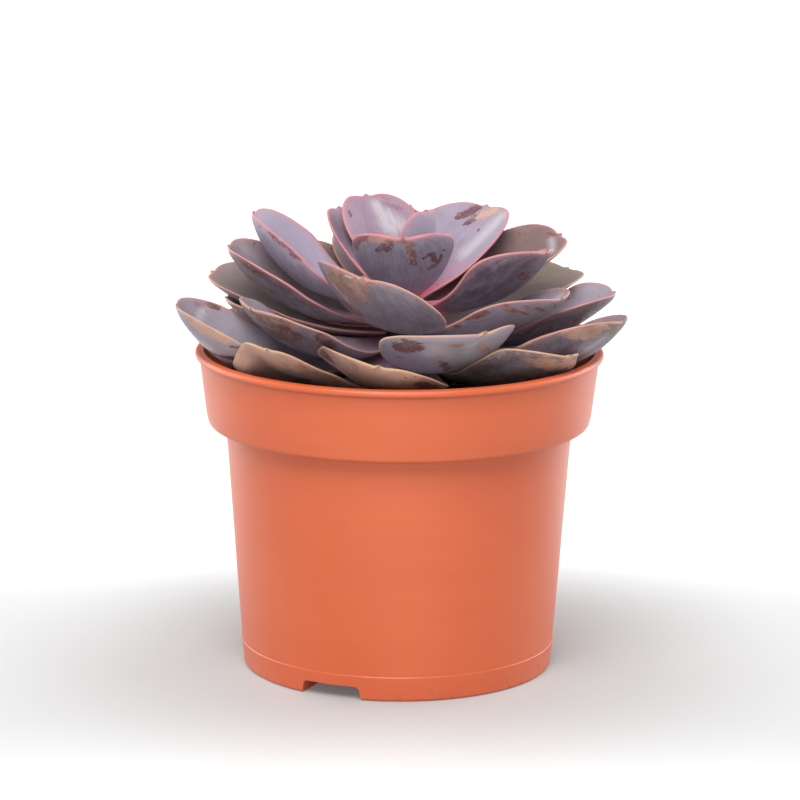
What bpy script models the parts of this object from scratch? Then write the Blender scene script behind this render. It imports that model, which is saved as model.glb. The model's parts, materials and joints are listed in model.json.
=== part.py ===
"""Potted echeveria: a terracotta-coloured plastic nursery pot, its soil and one rosette.

The frame has +Z up. Its origin is on the pot's axis, at the level of the ground under the foot.
Every size below is in millimetres and is turned into metres when a mesh is made.
"""

import collections
import math
import random

import bmesh
import bpy
import numpy as np
from mathutils import Vector
from mathutils.bvhtree import BVHTree

MM = 0.001
GAP = 0.3                      # between pieces that touch
SHARP_ANGLE = 40.0             # edges turning more than this, in degrees, stay crisp

# Pot
POT_TOP = 94.5
LIP_RADIUS = 60.0
LIP_HEIGHT = 2.2
LIP_GROOVE = 0.3               # height of the fine groove under the lip
BAND_TOP_RADIUS = 58.7         # the upright band under the lip
BAND_FOOT_RADIUS = 56.3
BAND_FOOT = 72.6
BAND_EDGE = 1.6                # rounded lower edge of the band
WALL_TOP_RADIUS = 51.0
FOOT_RADIUS = 45.7
WALL = 1.2                     # thickness of the plastic
FILLET = 2.0                   # where the band's foot runs into the wall
EASE = 1.5                     # sloped inside corners
FOOT_EDGE = 0.8
SEGMENTS = 60

# Channels under the pot, which carry water away to notches in the foot
CHANNELS = 3
CHANNEL_WIDTH = 18.0
CHANNEL_HEIGHT = 4.0
CHANNEL_CORNER = 1.6
CHANNEL_LEAN = 0.8             # how much wider the channel is at the ground, on each side
FIRST_CHANNEL = 245.0          # degrees
RAISED_RADIUS = 27.0           # the raised middle where the channels meet
RAISED_SIDES = 36
DRAIN_HOLE = 3.6               # diameter
DRAIN_SIDES = 12
DRAIN_RINGS = ((3, 10.0, 35.0), (6, 20.0, 5.0))      # how many holes, how far out, turned by how much
CUT_BELOW = 1.5                # how far cutters reach past the surface they open
CUT_REACH = FOOT_RADIUS + 10.0

# Soil and stem
SOIL_LEVEL = 83.0
SOIL_MOUND = 0.7
SOIL_UNEVEN = 0.7
SOIL_WAVES = 5
SOIL_WAVE_RATE = 0.35          # radians for each millimetre
SOIL_SEED = 7
SOIL_RINGS = 5
PLANT_X = 1.5                  # the rosette stands a little off the pot's axis
STEM_FOOT = 72.0
STEM_SHOULDER = 88.0
STEM_TOP = 115.0
STEM_FOOT_RADIUS = 6.4
STEM_TOP_RADIUS = 1.5
STEM_TAPER = 1.2
STEM_TIP = 0.6
STEM_RINGS = 6
STEM_SIDES = 24

# Leaves: form shared by all of them
LEAF_THICKNESS = 2.7
THICK_FOOT = 0.62              # thickness at the stem, then its growth and its fall towards the tip
THICK_GROWTH = 1.2
THICK_FALL = 1.3
UPPER_SHARE = 0.42             # how much of the thickness lies above the middle surface
MARGIN_ROUND = 2.2             # how full the blade stays towards its margins
LEAF_FOOT_SHARE = 0.20         # width at the stem, as a share of the greatest width
LEAF_WIDEST = 0.66             # where along the leaf it is widest
WIDTH_GROWTH = 0.7             # how early the blade widens
WIDTH_CLOSE = 2.6              # how late it narrows again
WIDTH_BLUNT = 0.52             # how blunt its end is
LEAF_STATIONS = (0.0, 0.11, 0.23, 0.35, 0.47, 0.58, 0.69, 0.79, 0.87, 0.935, 0.98)
LEAF_COLUMNS = 7
LEAF_POINT = 1.3               # the small point at the tip
LOBE = 1.6                     # how far the blunt end reaches past the tip on both sides
LOBE_FROM = 0.6                # where along the leaf the lobes begin
CURL = 1.2                     # how late the midrib turns up
ROLL_BY = 0.5                  # where along the leaf its roll is complete
MIDRIB_STEPS = 100
LEAF_GAP = 0.5                 # kept from the leaves above
BEND_REACH = 4.5
BEND_ROUNDS = 8
BEND_SPREAD = 0.7              # how far a push carries to its neighbours
BEND_DONE = 0.02
YOUNG_ABOVE = 104.0            # leaves that grow higher than this are still young

Leaf = collections.namedtuple("Leaf", "azimuth foot rise lift length width cup roll skew")

# One row for each leaf, youngest first: azimuth in degrees from +X, height of its foot on the stem,
# rise of its midrib at the foot and at the tip in degrees, length, greatest width, cupping of the blade
# in degrees at each margin, roll about the midrib in degrees, and skew: how far the blade lies to the
# right of its tip, seen from the stem, as a share of half its width.
LEAVES = (
    (60, 115, 68, 86, 12, 10, 44, 0, 0),
    (196, 114.5, 64, 84, 13, 11, 44, 0, 0),
    (318, 113, 70, 88, 23, 16, 46, 0, 0),
    (118, 112, 40, 56, 32, 26, 40, 0, 0),
    (268, 110, 36, 64, 28, 35, 58, 2, 0),
    (49, 109, 28, 43, 40, 34, 32, 0, 0),
    (135, 109.7, 34, 54, 33, 23, 40, 0, 0),
    (87, 106.8, 36, 54, 35, 26, 36, 0, 0),
    (177, 108.9, -4, 73, 51.8, 32, 70, -6, 0),
    (333, 108.2, -4, 58, 48.5, 32, 58, -1.5, 0.2),
    (253, 103.6, -4, 66, 42, 46, 36, -18, 0.1),
    (16, 104.5, 18, 37, 48, 32, 34, 12, 0),
    (66, 103.7, 16, 40, 44, 32, 36, 0, 0),
    (108, 104, 18, 38, 42, 28, 36, 0, 0),
    (146, 101.3, 24, 36, 40, 28, 34, 0, 0),
    (184, 103.5, -3, 57, 54, 34, 60, -8, 0),
    (169, 99.4, 0, 35, 55.5, 32, 42, -9, 0),
    (327, 101, -2, 38, 51, 32, 52, 0, 0),
    (39, 99.6, 4, 20, 59, 36, 32, 4, 0),
    (88, 101.4, 2, 28, 54, 34, 38, 0, 0),
    (130, 98.9, 4, 26, 56, 34, 38, 0, 0),
    (219, 98.2, -14, 52, 55.5, 40, 40, -7, 0),
    (4, 98.1, -13, 43, 59.5, 34, 64, 3, 0),
    (296, 98.2, -22, 54, 51.5, 46, 47, 9.5, 0.25),
    (177, 96.8, -6, 38, 49, 27, 36, 0, 0),
    (197, 94.2, -25, 62, 71.2, 36, 68, -12, 0),
    (338, 94, -20, 52, 67, 36, 69, -4, 0),
    (62, 95.5, -6, 20, 60, 34, 38, 0, 0),
    (20, 92.5, -6, 20, 50, 32, 38, 0, 0),
    (108, 94.3, -6, 22, 57, 34, 38, 0, 0),
    (150, 92.5, -4, 20, 56, 34, 38, 0, 0),
    (263, 96.4, -30, 46, 55, 40, 38, -11, 0.15),
    (231.5, 89.4, -9.5, 43, 58, 32, 26, -3, 0.24),
    (322, 90.5, -8, 32, 55, 30, 46, -3, 0.3),
)

# Colours, as linear values
TERRACOTTA = (0.745, 0.158, 0.058, 1.0)
SOIL_BROWN = (0.016, 0.011, 0.008, 1.0)
STEM_GREY = (0.115, 0.085, 0.072, 1.0)
LEAF_INNER = (0.42, 0.26, 0.37, 1.0)
LEAF_OUTER = (0.30, 0.21, 0.23, 1.0)
POT_ROUGHNESS = 0.42
SOIL_ROUGHNESS = 0.95
STEM_ROUGHNESS = 0.8
YOUNG_ROUGHNESS = 0.5
OLD_ROUGHNESS = 0.6


def clear_scene():
    for obj in list(bpy.data.objects):
        bpy.data.objects.remove(obj, do_unlink=True)


def material(name, colour, roughness):
    made = bpy.data.materials.new(name)
    made.use_nodes = True
    shader = made.node_tree.nodes["Principled BSDF"]
    shader.inputs["Base Color"].default_value = colour
    shader.inputs["Roughness"].default_value = roughness
    shader.inputs["Metallic"].default_value = 0.0
    made.diffuse_color = colour
    return made


def add_mesh(name, points, faces, finish):
    """An object from points in millimetres."""
    mesh = bpy.data.meshes.new(name)
    mesh.from_pydata([tuple(float(v) * MM for v in p) for p in points], [], faces)
    mesh.update()
    obj = bpy.data.objects.new(name, mesh)
    bpy.context.scene.collection.objects.link(obj)
    mesh.materials.append(finish)
    mesh.shade_smooth()
    mesh.set_sharp_from_angle(angle=math.radians(SHARP_ANGLE))
    return obj


def turned(name, profile, centre, segments, finish):
    """A closed solid turned round a vertical axis, from its profile listed top to bottom on the outside."""
    mesh = bpy.data.meshes.new(name)
    work = bmesh.new()
    ring = [work.verts.new((r * MM, 0.0, z * MM)) for r, z in profile]
    edges = [work.edges.new(pair) for pair in zip(ring, ring[1:])]
    bmesh.ops.spin(work, geom=ring + edges, cent=(0, 0, 0), axis=(0, 0, 1), dvec=(0, 0, 0),
                   angle=2 * math.pi, steps=segments, use_merge=True, use_duplicate=False)
    bmesh.ops.remove_doubles(work, verts=work.verts, dist=1e-7)
    bmesh.ops.recalc_face_normals(work, faces=work.faces)
    bmesh.ops.translate(work, verts=work.verts, vec=(centre[0] * MM, centre[1] * MM, 0))
    work.to_mesh(mesh)
    work.free()
    obj = bpy.data.objects.new(name, mesh)
    bpy.context.scene.collection.objects.link(obj)
    mesh.materials.append(finish)
    mesh.shade_smooth()
    mesh.set_sharp_from_angle(angle=math.radians(SHARP_ANGLE))
    return obj


def arc(centre, radius, start, end, steps):
    """Points (r, z) of a round corner, from one angle in degrees to another."""
    out = []
    for k in range(steps + 1):
        a = math.radians(start + (end - start) * k / steps)
        out.append((centre[0] + radius * math.cos(a), centre[1] + radius * math.sin(a)))
    return out


def wall_radius(z):
    """Outer radius of the tapered wall under the band."""
    return FOOT_RADIUS + (WALL_TOP_RADIUS - FOOT_RADIUS) * z / BAND_FOOT


def band_radius(z):
    """Outer radius of the band under the lip."""
    share = (z - BAND_FOOT) / (POT_TOP - LIP_HEIGHT - BAND_FOOT)
    return BAND_FOOT_RADIUS + (BAND_TOP_RADIUS - BAND_FOOT_RADIUS) * share


def pot_outside():
    """Outer profile from the middle of the top, over the lip, down to the middle of the foot."""
    lip = LIP_HEIGHT / 2
    groove = POT_TOP - LIP_HEIGHT - LIP_GROOVE
    bead = arc((LIP_RADIUS - lip, POT_TOP - lip), lip, 90, -70, 6)
    band_foot = arc((BAND_FOOT_RADIUS - BAND_EDGE, BAND_FOOT + BAND_EDGE), BAND_EDGE, 0, -80, 3)
    under_band = [(WALL_TOP_RADIUS + LIP_GROOVE, BAND_FOOT - FILLET / 4),
                  (wall_radius(BAND_FOOT - FILLET), BAND_FOOT - FILLET)]
    foot = [(FOOT_RADIUS, FOOT_EDGE), (FOOT_RADIUS - FOOT_EDGE, 0.0), (0.0, 0.0)]
    return [(0.0, POT_TOP)] + bead + [(band_radius(groove), groove)] + band_foot + under_band + foot


def cavity_profile(inset=0.0, top=POT_TOP + CUT_BELOW):
    """Profile of the pot's inside, or of what fills it when it is inset."""
    shelf = BAND_FOOT + WALL
    rim = band_radius(POT_TOP - LIP_HEIGHT) - WALL - inset
    return [(0.0, top), (rim, top), (rim, POT_TOP - LIP_HEIGHT),
            (band_radius(shelf + EASE) - WALL - inset, shelf + EASE + inset),
            (band_radius(shelf) - WALL - EASE - inset, shelf + inset),
            (WALL_TOP_RADIUS - WALL / 4 - inset, shelf - EASE / 2 + inset),
            (wall_radius(BAND_FOOT - FILLET) - WALL - inset, BAND_FOOT - FILLET),
            (wall_radius(WALL + EASE) - WALL - inset, WALL + EASE + inset),
            (wall_radius(WALL) - WALL - EASE - inset, WALL + inset), (0.0, WALL + inset)]


def channel_block(name, azimuth, clearance):
    """A long block of the channels' section, laid along a radius; clearance widens it on every side."""
    half = CHANNEL_WIDTH / 2 + clearance
    top = CHANNEL_HEIGHT + clearance
    corner = CHANNEL_CORNER + clearance
    section = [(half + CHANNEL_LEAN, -CUT_BELOW)] + arc((half - corner, top - corner), corner, 0, 90, 3)
    section += [(-y, z) for y, z in reversed(section)]
    mesh = bpy.data.meshes.new(name)
    work = bmesh.new()
    near = [work.verts.new((0.0, y * MM, z * MM)) for y, z in section]
    far = [work.verts.new((CUT_REACH * MM, y * MM, z * MM)) for y, z in section]
    work.faces.new(near)
    work.faces.new(far)
    for k in range(len(section)):
        after = (k + 1) % len(section)
        work.faces.new((near[k], near[after], far[after], far[k]))
    bmesh.ops.recalc_face_normals(work, faces=work.faces)
    work.to_mesh(mesh)
    work.free()
    obj = bpy.data.objects.new(name, mesh)
    bpy.context.scene.collection.objects.link(obj)
    obj.rotation_euler[2] = math.radians(azimuth)
    return obj


def rod(name, centre, radius, bottom, top, sides):
    """A plain vertical cylinder, used as a cutter."""
    mesh = bpy.data.meshes.new(name)
    work = bmesh.new()
    bmesh.ops.create_cone(work, cap_ends=True, segments=sides, radius1=radius * MM, radius2=radius * MM,
                          depth=(top - bottom) * MM)
    middle = (centre[0] * MM, centre[1] * MM, (top + bottom) / 2 * MM)
    bmesh.ops.translate(work, verts=work.verts, vec=middle)
    work.to_mesh(mesh)
    work.free()
    obj = bpy.data.objects.new(name, mesh)
    bpy.context.scene.collection.objects.link(obj)
    return obj


def as_cutter(obj):
    obj.hide_render = True
    obj.display_type = "WIRE"
    return obj


def cut(obj, cutter):
    step = obj.modifiers.new("cut " + cutter.name, "BOOLEAN")
    step.operation = "DIFFERENCE"
    step.object = as_cutter(cutter)


def raised_floor(label, clearance):
    """The blocks that together fill the channels and the raised middle under the pot."""
    top = CHANNEL_HEIGHT + clearance
    blocks = [rod(label + "_middle", (0, 0), RAISED_RADIUS + clearance, -CUT_BELOW, top, RAISED_SIDES)]
    for k in range(CHANNELS):
        azimuth = FIRST_CHANNEL + 360.0 * k / CHANNELS
        blocks.append(channel_block("%s_channel_%d" % (label, k + 1), azimuth, clearance))
    return blocks


def make_pot():
    finish = material("terracotta plastic", TERRACOTTA, POT_ROUGHNESS)
    pot = turned("pot", pot_outside(), (0, 0), SEGMENTS, finish)
    cavity = turned("pot_cavity", cavity_profile(), (0, 0), SEGMENTS, finish)
    for block in raised_floor("floor", WALL):
        cut(cavity, block)
    cut(pot, cavity)
    for block in raised_floor("recess", 0.0):
        cut(pot, block)
    top = CHANNEL_HEIGHT + WALL + CUT_BELOW
    for count, radius, turn in DRAIN_RINGS:
        for k in range(count):
            a = math.radians(turn + 360.0 * k / count)
            place = (radius * math.cos(a), radius * math.sin(a))
            cut(pot, rod("drain_%d_%d" % (radius, k), place, DRAIN_HOLE / 2, -CUT_BELOW, top, DRAIN_SIDES))
    return pot


def soil_height(x, y, waves):
    """Height of the soil, low at the rim, with a few shallow waves."""
    r = math.hypot(x, y) / BAND_FOOT_RADIUS
    lumps = sum(math.sin(fx * x + fy * y + phase) for fx, fy, phase in waves) / len(waves)
    return SOIL_LEVEL + SOIL_MOUND * (1 - r * r) + SOIL_UNEVEN * lumps


def make_soil():
    finish = material("potting soil", SOIL_BROWN, SOIL_ROUGHNESS)
    side = [p for p in cavity_profile(GAP, SOIL_LEVEL) if p[1] < SOIL_LEVEL]
    edge = band_radius(SOIL_LEVEL) - WALL - GAP
    top = [(edge * k / SOIL_RINGS, SOIL_LEVEL) for k in range(SOIL_RINGS + 1)]
    soil = turned("soil", top + side, (0, 0), SEGMENTS, finish)
    draw = random.Random(SOIL_SEED)
    waves = []
    for _ in range(SOIL_WAVES):
        rates = [draw.uniform(-SOIL_WAVE_RATE, SOIL_WAVE_RATE) for _ in range(2)]
        waves.append((rates[0], rates[1], draw.uniform(0, 2 * math.pi)))
    level = (SOIL_LEVEL - GAP) * MM
    for vertex in soil.data.vertices:
        if vertex.co.z > level:
            vertex.co.z = soil_height(vertex.co.x / MM, vertex.co.y / MM, waves) * MM
    for block in raised_floor("under_soil", WALL + GAP):
        cut(soil, block)
    hole_foot = STEM_FOOT - GAP
    cut(soil, rod("stem_hole", (PLANT_X, 0), STEM_FOOT_RADIUS + GAP, hole_foot, POT_TOP, STEM_SIDES))
    return soil


def stem_radius(z):
    """The stem is straight in the soil and tapers among the leaves."""
    share = max(0.0, (z - STEM_SHOULDER) / (STEM_TOP - STEM_SHOULDER))
    return STEM_FOOT_RADIUS + (STEM_TOP_RADIUS - STEM_FOOT_RADIUS) * min(share, 1.0) ** STEM_TAPER


def make_stem():
    finish = material("stem", STEM_GREY, STEM_ROUGHNESS)
    heights = [STEM_TOP - (STEM_TOP - STEM_SHOULDER) * k / STEM_RINGS for k in range(STEM_RINGS + 1)]
    profile = [(0.0, STEM_TOP + STEM_TIP)] + [(stem_radius(z), z) for z in heights]
    profile += [(STEM_FOOT_RADIUS, STEM_FOOT), (0.0, STEM_FOOT)]
    return turned("stem", profile, (PLANT_X, 0), STEM_SIDES, finish)


def smooth_step(x):
    x = np.clip(x, 0, 1)
    return x * x * (3 - 2 * x)


def half_width(s, width):
    """Half of the blade's width, a share s along it: narrow at the stem, blunt at the tip."""
    grow = LEAF_FOOT_SHARE + (1 - LEAF_FOOT_SHARE) * smooth_step(s / LEAF_WIDEST) ** WIDTH_GROWTH
    past = np.clip((s - LEAF_WIDEST) / (1 - LEAF_WIDEST), 0, 1)
    return width / 2 * grow * (1 - past ** WIDTH_CLOSE) ** WIDTH_BLUNT


def thickness_along(s):
    return LEAF_THICKNESS * (THICK_FOOT + THICK_GROWTH * s - THICK_FALL * s * s)


def midrib(leaf, stations):
    """Points along the midrib, with the forward, across and upper directions there."""
    fine = np.linspace(0, 1, MIDRIB_STEPS + 1)
    slope = np.radians(leaf.rise + (leaf.lift - leaf.rise) * fine ** CURL)
    a = math.radians(leaf.azimuth)
    out = np.array((math.cos(a), math.sin(a), 0.0))
    side = np.array((-math.sin(a), math.cos(a), 0.0))
    up = np.array((0.0, 0.0, 1.0))
    forward = np.cos(slope)[:, None] * out + np.sin(slope)[:, None] * up
    steps = (forward[1:] + forward[:-1]) / 2 * leaf.length / MIDRIB_STEPS
    lean = abs(math.sin(math.radians(leaf.rise))) * thickness_along(0.0) * (1 - UPPER_SHARE)
    foot = out * (stem_radius(leaf.foot) + GAP + lean) + (PLANT_X, 0.0, leaf.foot)
    points = foot + np.concatenate([np.zeros((1, 3)), np.cumsum(steps, axis=0)])
    s = np.asarray(stations)
    points = np.stack([np.interp(s, fine, points[:, k]) for k in range(3)], axis=1)
    slope = np.interp(s, fine, slope)[:, None]
    forward = np.cos(slope) * out + np.sin(slope) * up
    upper = np.cos(slope) * up - np.sin(slope) * out
    turn = np.radians(leaf.roll) * np.clip(s / ROLL_BY, 0, 1)[:, None]
    across = side * np.cos(turn) + upper * np.sin(turn)
    upper = upper * np.cos(turn) - side * np.sin(turn)
    return points, forward, across, upper


def leaf_sheet(leaf, stations=LEAF_STATIONS, columns=LEAF_COLUMNS):
    """The blade's middle surface, its upper normals and its thickness, on a grid from foot to tip."""
    s = np.asarray(stations)
    t = np.linspace(-1, 1, columns)[None, :]
    mid, forward, across, upper = midrib(leaf, stations)
    half = half_width(s, leaf.width)[:, None]
    bend = math.radians(leaf.cup) / (leaf.width / 2)
    angle = bend * half * (t - leaf.skew * smooth_step(s)[:, None])
    sideways = np.sin(angle) / bend
    rise = (1 - np.cos(angle)) / bend
    share = np.abs(half * t) / (leaf.width / 2)
    ahead = LOBE * 4 * share * (1 - share) * smooth_step((s - LOBE_FROM) / (1 - LOBE_FROM))[:, None]
    points = (mid[:, None] + across[:, None] * sideways[..., None] + upper[:, None] * rise[..., None]
              + forward[:, None] * ahead[..., None])
    normals = upper[:, None] * np.cos(angle)[..., None] - across[:, None] * np.sin(angle)[..., None]
    thick = thickness_along(s)[:, None] * np.sqrt(np.clip(1 - np.abs(t) ** MARGIN_ROUND, 0, 1))
    return points, normals, thick


def leaf_tip(leaf):
    points, forward, _, _ = midrib(leaf, (1.0,))
    return points[0] + forward[0] * LEAF_POINT


def bend_clear(points, normals, thick, above):
    """Moves the blade down and out wherever it would meet the leaves above it."""
    points = points.copy()
    rows, columns = thick.shape
    for _ in range(BEND_ROUNDS):
        push = np.zeros((rows, columns))
        for i in range(2 * rows - 1):
            for j in range(2 * columns - 1):
                corners = {(i // 2, j // 2), ((i + 1) // 2, j // 2), (i // 2, (j + 1) // 2),
                           ((i + 1) // 2, (j + 1) // 2)}
                place = sum(points[c] for c in corners) / len(corners)
                normal = Vector(sum(normals[c] for c in corners)).normalized()
                need = sum(thick[c] for c in corners) / len(corners) * UPPER_SHARE + LEAF_GAP
                hit = above.ray_cast(Vector(place) - normal * BEND_REACH, normal)
                if hit[3] is not None and hit[3] < BEND_REACH + need:
                    for c in corners:
                        push[c] = max(push[c], BEND_REACH + need - hit[3])
        if push.max() < BEND_DONE:
            break
        wide = np.pad(push, 1, mode="edge")
        spread = (wide[:-2, 1:-1] + wide[2:, 1:-1] + wide[1:-1, :-2] + wide[1:-1, 2:]) / 4
        push = np.maximum(push, BEND_SPREAD * spread)
        points -= normals * push[..., None]
    return points


def leaf_skin(points, normals, thick, tip):
    """The two faces of the blade, joined at the margins, with a flat foot. Returns points and faces."""
    rows, columns = thick.shape
    upper = points + normals * thick[..., None] * UPPER_SHARE
    lower = points - normals * thick[..., None] * (1 - UPPER_SHARE)
    top = np.arange(rows * columns).reshape(rows, columns)
    bottom = top.copy()
    inner = columns - 2
    bottom[:, 1:-1] = rows * columns + np.arange(rows * inner).reshape(rows, inner)
    vertices = list(upper.reshape(-1, 3)) + list(lower[:, 1:-1].reshape(-1, 3)) + [tip]
    point = len(vertices) - 1
    faces = []
    for grid, outward in ((top, True), (bottom, False)):
        for j in range(columns - 1):
            strip = []
            for i in range(rows - 1):
                a, b, c, d = grid[i, j], grid[i + 1, j], grid[i + 1, j + 1], grid[i, j + 1]
                strip += [(a, b, c), (a, c, d)] if j < columns // 2 else [(a, b, d), (b, c, d)]
            strip.append((grid[-1, j], point, grid[-1, j + 1]))
            faces += strip if outward else [f[::-1] for f in strip]
    foot = list(top[0]) + list(bottom[0, -2:0:-1])
    faces.append(tuple(foot))
    return vertices, [tuple(int(k) for k in f) for f in faces]


def make_leaves():
    young = material("young leaf", LEAF_INNER, YOUNG_ROUGHNESS)
    old = material("old leaf", LEAF_OUTER, OLD_ROUGHNESS)
    placed_points, placed_faces = [], []
    order = sorted((Leaf(*row) for row in LEAVES), key=lambda leaf: -leaf.foot)
    for number, leaf in enumerate(order, start=1):
        points, normals, thick = leaf_sheet(leaf)
        tip = leaf_tip(leaf)
        if placed_faces:
            above = BVHTree.FromPolygons(placed_points, placed_faces)
            bent = bend_clear(points, normals, thick, above)
            middle = LEAF_COLUMNS // 2
            tip = tip + bent[-1, middle] - points[-1, middle]
            points = bent
        vertices, faces = leaf_skin(points, normals, thick, tip)
        start = len(placed_points)
        placed_points += [Vector(v) for v in vertices]
        placed_faces += [tuple(start + k for k in f) for f in faces]
        add_mesh("leaf_%02d" % number, vertices, faces, young if leaf.foot > YOUNG_ABOVE else old)


def build():
    clear_scene()
    make_pot()
    make_soil()
    make_stem()
    make_leaves()


build()
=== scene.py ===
"""Looks for the potted echeveria: finer leaves, pot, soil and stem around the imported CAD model.

Sizes are in millimetres and are turned into metres when a mesh is made. +Z is up, and the origin is
on the pot's axis, on the ground.
"""

import collections
import json
import math
import random

import bmesh
import bpy
import numpy as np
from mathutils import Matrix, Vector
from mathutils.bvhtree import BVHTree
from mathutils.interpolate import poly_3d_calc

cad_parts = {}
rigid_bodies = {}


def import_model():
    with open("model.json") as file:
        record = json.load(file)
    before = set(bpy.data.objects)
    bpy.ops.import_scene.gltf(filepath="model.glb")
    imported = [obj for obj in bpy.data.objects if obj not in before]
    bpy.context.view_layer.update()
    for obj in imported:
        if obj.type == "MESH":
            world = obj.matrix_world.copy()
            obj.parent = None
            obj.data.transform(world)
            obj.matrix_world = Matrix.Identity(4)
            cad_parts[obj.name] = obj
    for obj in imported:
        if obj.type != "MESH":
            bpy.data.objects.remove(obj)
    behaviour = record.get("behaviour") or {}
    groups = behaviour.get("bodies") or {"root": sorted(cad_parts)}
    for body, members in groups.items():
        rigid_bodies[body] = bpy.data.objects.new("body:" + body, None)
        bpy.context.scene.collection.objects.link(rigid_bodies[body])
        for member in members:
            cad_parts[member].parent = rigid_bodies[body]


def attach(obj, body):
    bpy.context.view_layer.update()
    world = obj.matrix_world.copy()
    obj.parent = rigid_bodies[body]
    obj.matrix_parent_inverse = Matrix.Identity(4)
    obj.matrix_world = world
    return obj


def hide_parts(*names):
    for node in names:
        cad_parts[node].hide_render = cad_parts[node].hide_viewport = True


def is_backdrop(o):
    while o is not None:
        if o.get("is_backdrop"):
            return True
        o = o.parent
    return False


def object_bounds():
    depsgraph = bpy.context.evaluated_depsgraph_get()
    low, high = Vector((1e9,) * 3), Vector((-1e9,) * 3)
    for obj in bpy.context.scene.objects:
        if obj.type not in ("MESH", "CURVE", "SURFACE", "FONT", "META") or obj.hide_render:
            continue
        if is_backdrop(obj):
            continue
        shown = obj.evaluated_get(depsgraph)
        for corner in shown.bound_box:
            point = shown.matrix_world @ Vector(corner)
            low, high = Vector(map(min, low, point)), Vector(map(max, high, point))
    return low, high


MM = 0.001
GAP = 0.3                      # between pieces that touch
SHARP_ANGLE = 40.0
ORDER_DIGITS = 7               # decimals of a metre kept where a mesh is put in order

# Camera, fitted to the photograph
CAMERA_PLACE = (0.27, -1150.7, 332.95)
CAMERA_PITCH = 12.45           # degrees below the horizon
CAMERA_ROLL = 0.43
CAMERA_LENS = 180.0
CAMERA_SENSOR = 36.0
PHOTO_SIZE = 800               # pixels along each side
# The floor's painted light grows white from the first of these distances to the second, in front of the pot
# and behind it
FLOOR_WHITE_FROM = 0.045       # metres from the pot's middle, in front and behind
FLOOR_WHITE_BY = 0.17

# Pot
POT_TOP = 94.5
LIP_RADIUS = 59.97
LIP_HEIGHT = 2.2
LIP_GROOVE = 0.3
BAND_TOP_RADIUS = 58.7
BAND_FOOT_RADIUS = 56.3
BAND_FOOT = 72.6
BAND_EDGE = 1.6
WALL_TOP_RADIUS = 51.0
FOOT_RADIUS = 45.7
WALL = 1.2
FILLET = 2.0
EASE = 1.5
FOOT_EDGE = 0.8
SEAM_HEIGHT = 7.2              # the faint step that the mould leaves above the foot
SEAM_STEP = 0.16
SEAM_ABOVE = 0.25              # the step rises over this height, and fades over the next
SEAM_BELOW = 1.2
BAND_RINGS = (86.0, 80.0)      # heights where the band and the wall have a ring of points
WALL_RINGS = (66.0, 52.0, 38.0, 24.0, 12.0)
HOLLOW_RADIUS = 1.2            # of the inner corner under the band
SEGMENTS = 144
CHANNELS = 3
CHANNEL_WIDTH = 18.0
CHANNEL_HEIGHT = 4.0
CHANNEL_CORNER = 1.6
CHANNEL_LEAN = 0.8
FIRST_CHANNEL = 245.0
RAISED_RADIUS = 27.0
RAISED_SIDES = 72
DRAIN_HOLE = 3.6
DRAIN_SIDES = 20
DRAIN_RINGS = ((3, 10.0, 35.0), (6, 20.0, 5.0))
CUT_BELOW = 1.5
CUT_REACH = FOOT_RADIUS + 10.0

# Soil and stem
SOIL_LEVEL = 83.0
SOIL_MOUND = 0.7
SOIL_UNEVEN = 0.7
SOIL_WAVES = 5
SOIL_WAVE_RATE = 0.35
SOIL_SEED = 7
SOIL_RINGS = 44
CLOD_HEIGHT = 0.8
CLOD_SIZE = 3.2
PLANT_X = 1.5
STEM_FOOT = 72.0
STEM_SHOULDER = 88.0
STEM_TOP = 115.0
STEM_FOOT_RADIUS = 6.4
STEM_TOP_RADIUS = 1.5
STEM_TAPER = 1.2
STEM_TIP = 0.6
STEM_RINGS = 40
STEM_SIDES = 36

# Leaves: the form that the solids share
LEAF_THICKNESS = 2.7
THICK_FOOT = 0.62
THICK_GROWTH = 1.2
THICK_FALL = 1.3
UPPER_SHARE = 0.42
MARGIN_ROUND = 2.2
LEAF_FOOT_SHARE = 0.20
LEAF_WIDEST = 0.66
WIDTH_GROWTH = 0.7
WIDTH_CLOSE = 2.6
WIDTH_BLUNT = 0.52
SOLID_STATIONS = (0.0, 0.11, 0.23, 0.35, 0.47, 0.58, 0.69, 0.79, 0.87, 0.935, 0.98)
SOLID_COLUMNS = 7
LEAF_POINT = 1.3
LOBE = 1.6
LOBE_FROM = 0.6
CURL = 1.2
ROLL_BY = 0.5
MIDRIB_STEPS = 100
LEAF_GAP = 0.5
BEND_REACH = 4.5
BEND_ROUNDS = 8
BEND_SPREAD = 0.7
BEND_DONE = 0.02
YOUNG_ABOVE = 104.0

# Leaves: the finer skin
STATIONS = 54
STATION_CROWD = 1.8            # crowds the stations towards the tip
COLUMNS = 33
END_ROUND = 0.06               # share of the leaf over which its end grows thin
POINT_WIDTH = 0.85             # of the small point at the tip
POINT_FROM = 0.955
SKIN_GAP = 0.12                # kept between the finer leaves
SKIN_REACH = 3.0               # how far a finer leaf looks for the ones above it
SKIN_ROUNDS = 4
SKIN_SPREADS = 3
SKIN_DONE = 0.01
WAVE_HEIGHT = 0.28             # gentle unevenness of the blades
MARGIN_WAVE = 0.014
MARK_REACH = 0.47              # of a mark, for each pixel of its half width
# Pale marks stand for thick powder, and on the upper faces of leaves 4, 7 and 29 for painted highlight
PALE_REACH = 0.80
PALE_STRENGTH = 0.75
SEARCH_REACH = 8               # pixels
TONE_FROM = 0.08               # strength from which a mark sets the tone of the wear
PALE_CLEARS = 1.6              # how much wear thick powder covers
DULL_TAKES = 0.6               # how much powder a dull mark takes off
EDGE_WAVES, EDGE_WAVE_RATE = 5, 0.45
BLADE_WAVES, BLADE_WAVE_RATE = 7, 0.42
WAVES_FROM, WAVES_TO = 0.25, 0.12  # shares at the foot and the tip over which the waves fade
OWN_STEP = 3.7                 # sets each leaf's pattern apart from the others'

Leaf = collections.namedtuple("Leaf", "azimuth foot rise lift length width cup roll skew")

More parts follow.
